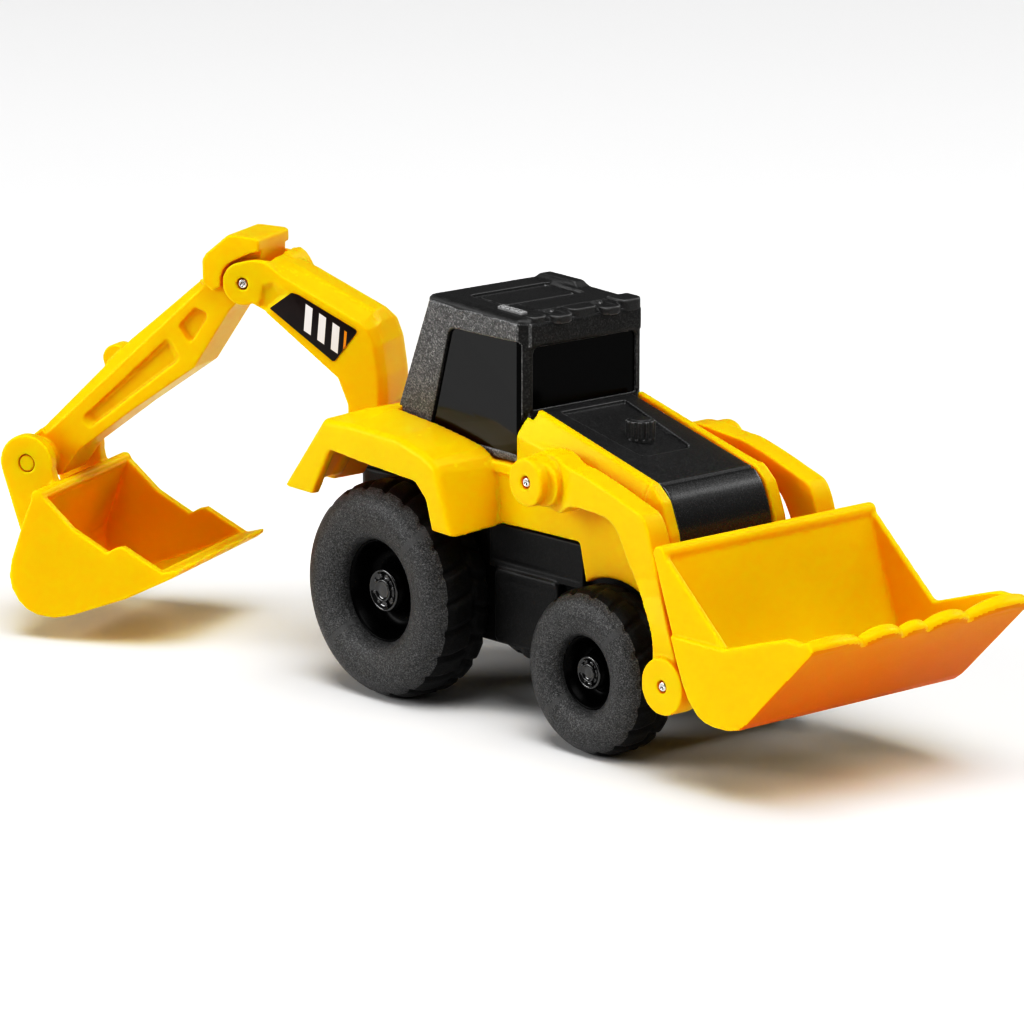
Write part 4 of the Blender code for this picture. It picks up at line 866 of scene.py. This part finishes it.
# cutting edge with five rounded lobes
LOBES = [-19.7, -9.7, -2.6, 1.9, 9.4, 19.7]
LT, LN = (0.713, 0.701), (-0.701, 0.713)
def lip_pt(a, b):
    return 74.0 + LT[0] * a + LN[0] * b, 11.5 + LT[1] * a + LN[1] * b
cut(bucket, prism_y("t", [lip_pt(15.3, -1.0), lip_pt(20.0, -1.0), lip_pt(20.0, 6.0), lip_pt(15.3, 6.0)], -21, 21))
rings = []
for i in range(241):
    y = -19.66 + 39.32 * i / 240
    k = max(j for j in range(5) if y >= LOBES[j] or j == 0)
    u = (y - LOBES[k]) / (LOBES[k + 1] - LOBES[k])
    u = min(1.0, max(0.0, u))
    if k == 0:
        f = 1.75 * math.sin(math.pi * (0.22 + 0.78 * u) ** 1.0) ** 0.55 if u < 1 else 0.0
    elif k == 4:
        f = 1.95 * math.sin(math.pi * (0.86 * u)) ** 0.55 if u > 0 else 0.0
    else:
        f = (1.6, 1.2, 1.55)[k - 1] * math.sin(math.pi * u) ** 0.55 if 0 < u < 1 else 0.0
    tip = 15.35 + f
    up = 0.35 + 0.42 * f
    rings.append([(q[0], y, q[1]) for q in (lip_pt(12.6, 0.12), lip_pt(tip - 0.9, 0.02), lip_pt(tip - 0.1, 0.30), lip_pt(tip, 0.80), lip_pt(tip - 0.30, 1.2 + up * 0.6),
                                            lip_pt(tip - 1.2, 1.2 + up), lip_pt(tip - 2.2, 1.2 + 0.3 * up), lip_pt(12.6, 0.9))])
join(bucket, loft("t", rings))
soften(bucket, 0.19, 7)
piece(bucket, "front_bucket_moulding", "front_bucket", ["loader_bucket"], YELB)
# the thin sloping back of the cutting edge gets a deep orange copy of the moulding: painted shade on its
# downward-facing faces
bucket.data.materials.append(YEL_UNDERSIDE_SHADE)
for poly in bucket.data.polygons:
    if poly.normal.z < -0.35 and poly.normal.x > 0.30:
        poly.material_index = 1

# ------------------------------------------------------------------ digging arm
BW = 5.1
post = cyl("post", 'Z', (0.0, 0.0), 3.8, 27.05, 28.05, 72)
join(post, prism_y("t", [(BOOM_L - 2.6, 27.9), (BOOM_L + 2.6, 27.9)] + arc(BOOM_L, BOOM_Z, 2.6, 0, 180, 28), -1.7, 1.7))
cut(post, cyl("t", 'Y', (BOOM_L, BOOM_Z), 0.95, -3, 3, 40), cyl("t", 'Z', (0.0, 0.0), 1.15, 26.0, 27.85, 40))
soften(post, 0.13, 4)
piece(post, "swing_post_moulding", "swing", ["swing_post"], CHASK, rig=SWING)

boom_pts = [(-0.6, 36.3), (-0.5, 40.3), (0.15, 44.6), (1.1, 46.9), (2.0, 47.6), (12.6, 52.65), (14.2, 53.45), (15.3, 54.2), (16.0, 54.8), (16.5, 55.2),
            (16.9, 55.3), (16.9, 50.4), (16.9, 48.4), (5.6, 39.7), (4.1, 36.0), (4.1, 34.4), (-0.9, 34.4)]
def boom_ring(w, front, top):
    shift = [(-front, 0.0), (-front, 0.0), (-front, 0.1 * top), (-front, 0.4 * top), (-0.43 * top, 0.9 * top), (-0.40 * top, 0.82 * top),
             (-0.3 * top, 0.72 * top), (-0.1 * top, 0.55 * top), (0.0, 0.42 * top), (0.0, 0.30 * top), (0.0, 0.22 * top)]
    return [(x + shift[i][0], w, z + shift[i][1]) if i < 11 else (x, w, z) for i, (x, z) in enumerate(boom_pts)]
rings = []
for w, front, top in ((BW, 0.0, 0.0), (4.4, 0.36, 0.34), (3.4, 0.7, 0.8), (2.5, 0.75, 1.25), (1.5, 0.75, 1.6)):
    rings.append(boom_ring(-w, front, top))
rings += [boom_ring(w, front, top) for w, front, top in ((1.5, 0.75, 1.6), (2.5, 0.75, 1.25), (3.4, 0.7, 0.8), (4.4, 0.36, 0.34), (BW, 0.0, 0.0))]
boom = loft("boom", rings)
# rounded lump behind the head, on the left half
lump = catmull([(13.6, 52.9), (13.9, 53.9), (14.6, 54.95), (15.4, 55.65), (16.2, 55.9), (16.85, 55.7)], 4) + [(16.85, 51.0), (13.6, 51.0)]
join(boom, prism_y("t", lump, -4.95, -0.4))
EAR = [(15.0, 47.4)] + arc(STICK_L, STICK_Z, 3.05, -120, 70, 30) + [(19.4, 55.3), (18.0, 55.5), (16.9, 55.3), (15.6, 54.6), (14.0, 53.4)]
for s in (-1, 1):
    join(boom, prism_y("t", EAR, s * 4.05, s * BW))
cut(boom, cyl("t", 'Y', (STICK_L, STICK_Z), 4.1, -4.05, 4.05, 72))
# clearance for the back of the arm's head when it folds fully open
cut(boom, prism_y("t", [(STICK_L - 3.42, STICK_Z + 2.0), (STICK_L - 4.70, STICK_Z + 7.0), (STICK_L + 1.0, STICK_Z + 7.0), (STICK_L + 1.0, STICK_Z + 2.0)], -4.05, 4.05))
for s in (-1, 1):
    cut(boom, prism_y("t", [(STICK_L - 4.10, STICK_Z + 3.80), (STICK_L - 4.80, STICK_Z + 7.0), (STICK_L, STICK_Z + 7.0), (STICK_L, STICK_Z + 3.80)], s * 3.4, s * 5.3))
for s in (-1, 1):
    join(boom, prism_y("t", arc(BOOM_L, BOOM_Z, 2.9, 180, 360, 28) + [(4.05, 35.0), (-0.85, 35.0)], s * 1.85, s * 4.7))
    # sunk corner of the flank between the ear and the label
    cut(boom, loft("t", [[(x, s * 5.4, z) for x, z in ((16.6, 47.6), (12.0, 51.5), (15.0, 53.2), (17.2, 52.4), (17.6, 50.0), (18.2, 48.6))],
                         [(x, s * 4.5, z) for x, z in ((16.6, 48.8), (14.6, 50.6), (15.7, 51.7), (16.9, 51.4), (16.95, 50.2), (17.4, 49.2))]]))
cut(boom, cyl("t", 'Y', (BOOM_L, BOOM_Z), 0.98, -6, 6, 40), cyl("t", 'Y', (STICK_L, STICK_Z), 0.86, -6, 6, 40))
soften(boom, 0.15, 10)
piece(boom, "boom_moulding", "boom_arm", ["boom"], YEL, rig=SWING)

SW = 3.9
stick_pts = [(17.6, 54.6), (17.6, 58.2), (18.3, 58.5), (22.4, 58.65), (25.8, 55.8), (26.4, 54.8), (26.4, 51.9), (27.5, 51.7), (39.3, 41.9),
             (53.2, 28.0), (54.6, 26.9), (52.9, 21.5), (49.6, 21.8), (46.9, 25.6), (38.2, 32.2), (28.4, 39.1), (23.0, 47.4), (21.6, 49.0), (17.6, 50.2)]
stick = prism_y("stick", stick_pts, -SW, SW)
cut(stick, prism_y("t", [(14.0, 48.0), (17.3, 48.0), (17.3, 60.0), (14.0, 60.0)], -5, 5))
HEAD = [(26.35, 51.7), (24.9, 50.6), (23.6, 51.2)] + arc(STICK_L, STICK_Z, 3.42, -8, 60, 10) + \
       [(20.1, 55.75), (18.8, 56.35), (17.6, 56.6), (17.6, 58.2), (18.3, 58.5), (22.4, 58.65), (25.8, 55.8), (26.4, 54.8)]
for s in (-1, 1):
    join(stick, loft("t", [[(x, s * 3.6, z) for x, z in HEAD], [(x, s * 5.05, z) for x, z in HEAD]]))
    cut(stick, loft("t", [[(26.45, s * 3.95, 51.1), (28.4, s * 1.9, 51.6), (32.0, s * 6.0, 56.0)],
                          [(52.0, s * 3.95, 27.5), (53.4, s * 1.9, 28.8), (57.0, s * 6.0, 33.0)]]))
    p1 = rounded([(28.1, 47.9), (30.9, 44.9), (29.0, 42.2), (25.9, 47.0)], 0.7, 5)
    p2 = rounded([(32.2, 43.4), (46.4, 30.3), (45.2, 28.8), (38.9, 33.8), (30.3, 40.4)], 0.8, 5)
    for pp in (p1, p2):
        c = Vector((sum(q[0] for q in pp) / len(pp), sum(q[1] for q in pp) / len(pp)))
        inner = [(c.x + (q[0] - c.x) * 0.86, c.y + (q[1] - c.y) * 0.86) for q in pp]
        outer = [(c.x + (q[0] - c.x) * 1.04, c.y + (q[1] - c.y) * 1.04) for q in pp]
        cut(stick, loft("t", [[(x, s * 3.0, z) for x, z in inner], [(x, s * 4.2, z) for x, z in outer]]))
join(stick, cyl("t", 'Y', (41.9, 38.9), 2.0, -1.6, 1.6, 48),
     cyl("t", 'Y', (DIG_L, DIG_Z), 2.9, -6.45, 6.45, 64),
     cyl("t", 'Y', (DIG_L, DIG_Z), 1.2, -8.2, 8.2, 40))
cut(stick, cyl("t", 'Y', (STICK_L, STICK_Z), 0.95, -6, 6, 40))
soften(stick, 0.16, 9)
piece(stick, "stick_moulding", "stick_arm", ["stick"], YEL, rig=SWING)
for s, tag in ((1, "right"), (-1, "left")):
    pin("stick_rivet_" + tag, STICK_L, STICK_Z, 0.02, 4.9, s, "stick_arm", "stick_pin" if s == 1 else None, rig=SWING)

# ------------------------------------------------------------------ digging bucket
D_HALF = 14.0
D_OUT = [(48.3, 21.0), (49.0, 20.9), (50.4, 17.6), (52.6, 11.2), (52.95, 9.0), (52.6, 7.2), (51.5, 5.4), (50.2, 4.3), (48.6, 3.65), (46.0, 3.45),
         (43.1, 4.1), (34.6, 7.3), (27.4, 10.9), (26.3, 11.7), (26.2, 12.3), (28.9, 11.6), (35.0, 14.8), (36.2, 14.5), (37.5, 13.7),
         (42.8, 16.6), (47.6, 21.0)]
D_CUT = [(47.4, 23.0), (47.5, 20.6), (51.1, 10.9), (51.4, 9.0), (51.1, 7.8), (50.3, 6.5), (49.3, 5.7), (48.2, 5.2), (46.0, 5.0), (43.5, 5.6),
         (35.1, 8.8), (28.6, 12.1), (24.0, 14.2), (24.0, 26.0), (47.4, 26.0)]
dig = prism_y("dig", D_OUT, -D_HALF, D_HALF)
cut(dig, prism_y("t", D_CUT, -(D_HALF - 1.3), D_HALF - 1.3))
join(dig, cyl("t", 'Y', (48.35, 20.75), 0.95, -(D_HALF - 0.05), D_HALF - 0.05, 36))
for s in (-1, 1):
    join(dig, prism_y("t", arc(DIG_L, DIG_Z, 4.1, -20, 190, 36) + [(48.2, 20.4), (52.6, 10.6), (53.2, 11.6)], s * 6.6, s * 8.4))
cut(dig, cyl("t", 'Y', (DIG_L, DIG_Z), 1.3, -10, 10, 40))
for yy in (-10.5, -3.5, 3.5, 10.5):
    c = cyl("t", 'Y', (0.0, 0.0), 4.2, -5.0, 5.0, 48)
    c.data.transform(Matrix.Translation((26.2 - 3.35, yy, 12.0 + 1.3)) @ Matrix.Rotation(math.radians(25), 4, 'Y')
                     @ Matrix.Rotation(math.radians(90), 4, 'X'))
    cut(dig, c)
soften(dig, 0.17, 7)
piece(dig, "rear_bucket_moulding", "rear_bucket", ["digging_bucket"], YELD, rig=SWING)

# striped film on both boom flanks
for s, sn in ((1, "right"), (-1, "left")):
    o = rounded([(15.85, 48.85), (12.5, 51.25), (11.5, 51.05), (2.45, 46.65), (6.1, 42.0)], 0.35, 4, only={1, 2, 3, 4})
    lab = prism_y("lab", o, s * (BW + 0.01), s * (BW + 0.13))
    edge_bevel(lab, 0.04, 2, 40)
    piece(lab, "boom_film_" + sn, "boom_arm", ["boom_label_" + sn], FILM, rig=SWING)

# ------------------------------------------------------------------ carried-over CAD pieces
for node in ("axle_rear", "axle_front", "boom_pin", "swing_pin", "screw_rear", "screw_mid", "screw_front"):
    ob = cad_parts[node]
    ob.data.materials.clear()
    ob.data.materials.append(STEELZ if node.startswith("screw") or node == "swing_pin" else STEEL)

# ------------------------------------------------------------------ floor, light, camera
floor_bm = bmesh.new()
bmesh.ops.create_grid(floor_bm, x_segments=4, y_segments=4, size=6.0)
floor = new_object("floor", floor_bm)
fm = Nodes("pale_floor")
fm.put("Base Color", fm.ramp(fm.noise(3.0, 2.0), [(0.3, (0.83, 0.83, 0.83)), (0.7, (0.85, 0.85, 0.85))]))
fm.put("Roughness", 0.75)
fm.put("Specular IOR Level", 0.15)
fm.put("Normal", fm.bump(fm.noise(40.0, 2.0), 0.0002, 0.2))
floor.data.materials.append(fm.m)

world = bpy.data.worlds.new("studio")
world.use_nodes = True
bg = world.node_tree.nodes["Background"]
bg.inputs[0].default_value = (1.0, 1.0, 1.0, 1.0)
bg.inputs[1].default_value = 0.10
bpy.context.scene.world = world

def area(name, loc, target, size, power, size_y=None, color=(1, 1, 1)):
    l = bpy.data.lights.new(name, 'AREA')
    l.shape = 'RECTANGLE'
    l.size = size
    l.size_y = size_y or size
    l.energy = power
    l.color = color
    ob = bpy.data.objects.new(name, l)
    bpy.context.scene.collection.objects.link(ob)
    ob.location = loc
    d = Vector(target) - Vector(loc)
    ob.rotation_euler = d.to_track_quat('-Z', 'Y').to_euler()
    return ob

area("top_box", (0.50, -0.20, 1.62), (0.0, 0.0, 0.0), 1.40, 34.0)
area("left_box", (-1.15, -1.62, 0.78), (0, 0, 0.03), 1.10, 31.0, 0.90)
area("front_fill", (1.5, -0.55, 1.25), (0, 0, 0.03), 0.9, 2.0)
area("back_strip", (0.35, 1.75, 1.15), (0, 0, 0.04), 1.5, 13.0, 0.6)

a, e = math.radians(48.41), math.radians(13.13)
right = Vector((math.cos(a), math.sin(a), 0))
back = Vector((math.sin(a) * math.cos(e), -math.cos(a) * math.cos(e), math.sin(e)))
up = Vector((-math.sin(a) * math.sin(e), math.cos(a) * math.sin(e), math.cos(e)))
cam_data = bpy.data.cameras.new("camera")
cam_data.lens = 204.3
cam_data.sensor_width = 36.0
cam_data.clip_start = 0.01
cam_data.clip_end = 50.0
cam = bpy.data.objects.new("camera", cam_data)
bpy.context.scene.collection.objects.link(cam)
loc = Vector((585.1 - OX, -512.9 - OY, 204.8)) * MM
cam.matrix_world = Matrix(((right.x, up.x, back.x, loc.x), (right.y, up.y, back.y, loc.y), (right.z, up.z, back.z, loc.z), (0, 0, 0, 1)))
bpy.context.scene.camera = cam
bpy.context.scene.view_settings.view_transform = 'Standard'
bpy.context.scene.view_settings.look = 'None'
# contrast of the print: deeper shadows, same whites
bpy.context.scene.view_settings.use_curve_mapping = True
tone = bpy.context.scene.view_settings.curve_mapping
curve = tone.curves[3]
for x, y in ((0.04, 0.018), (0.14, 0.075), (0.30, 0.205), (0.50, 0.46), (0.72, 0.75)):
    curve.points.new(x, y)
tone.update()
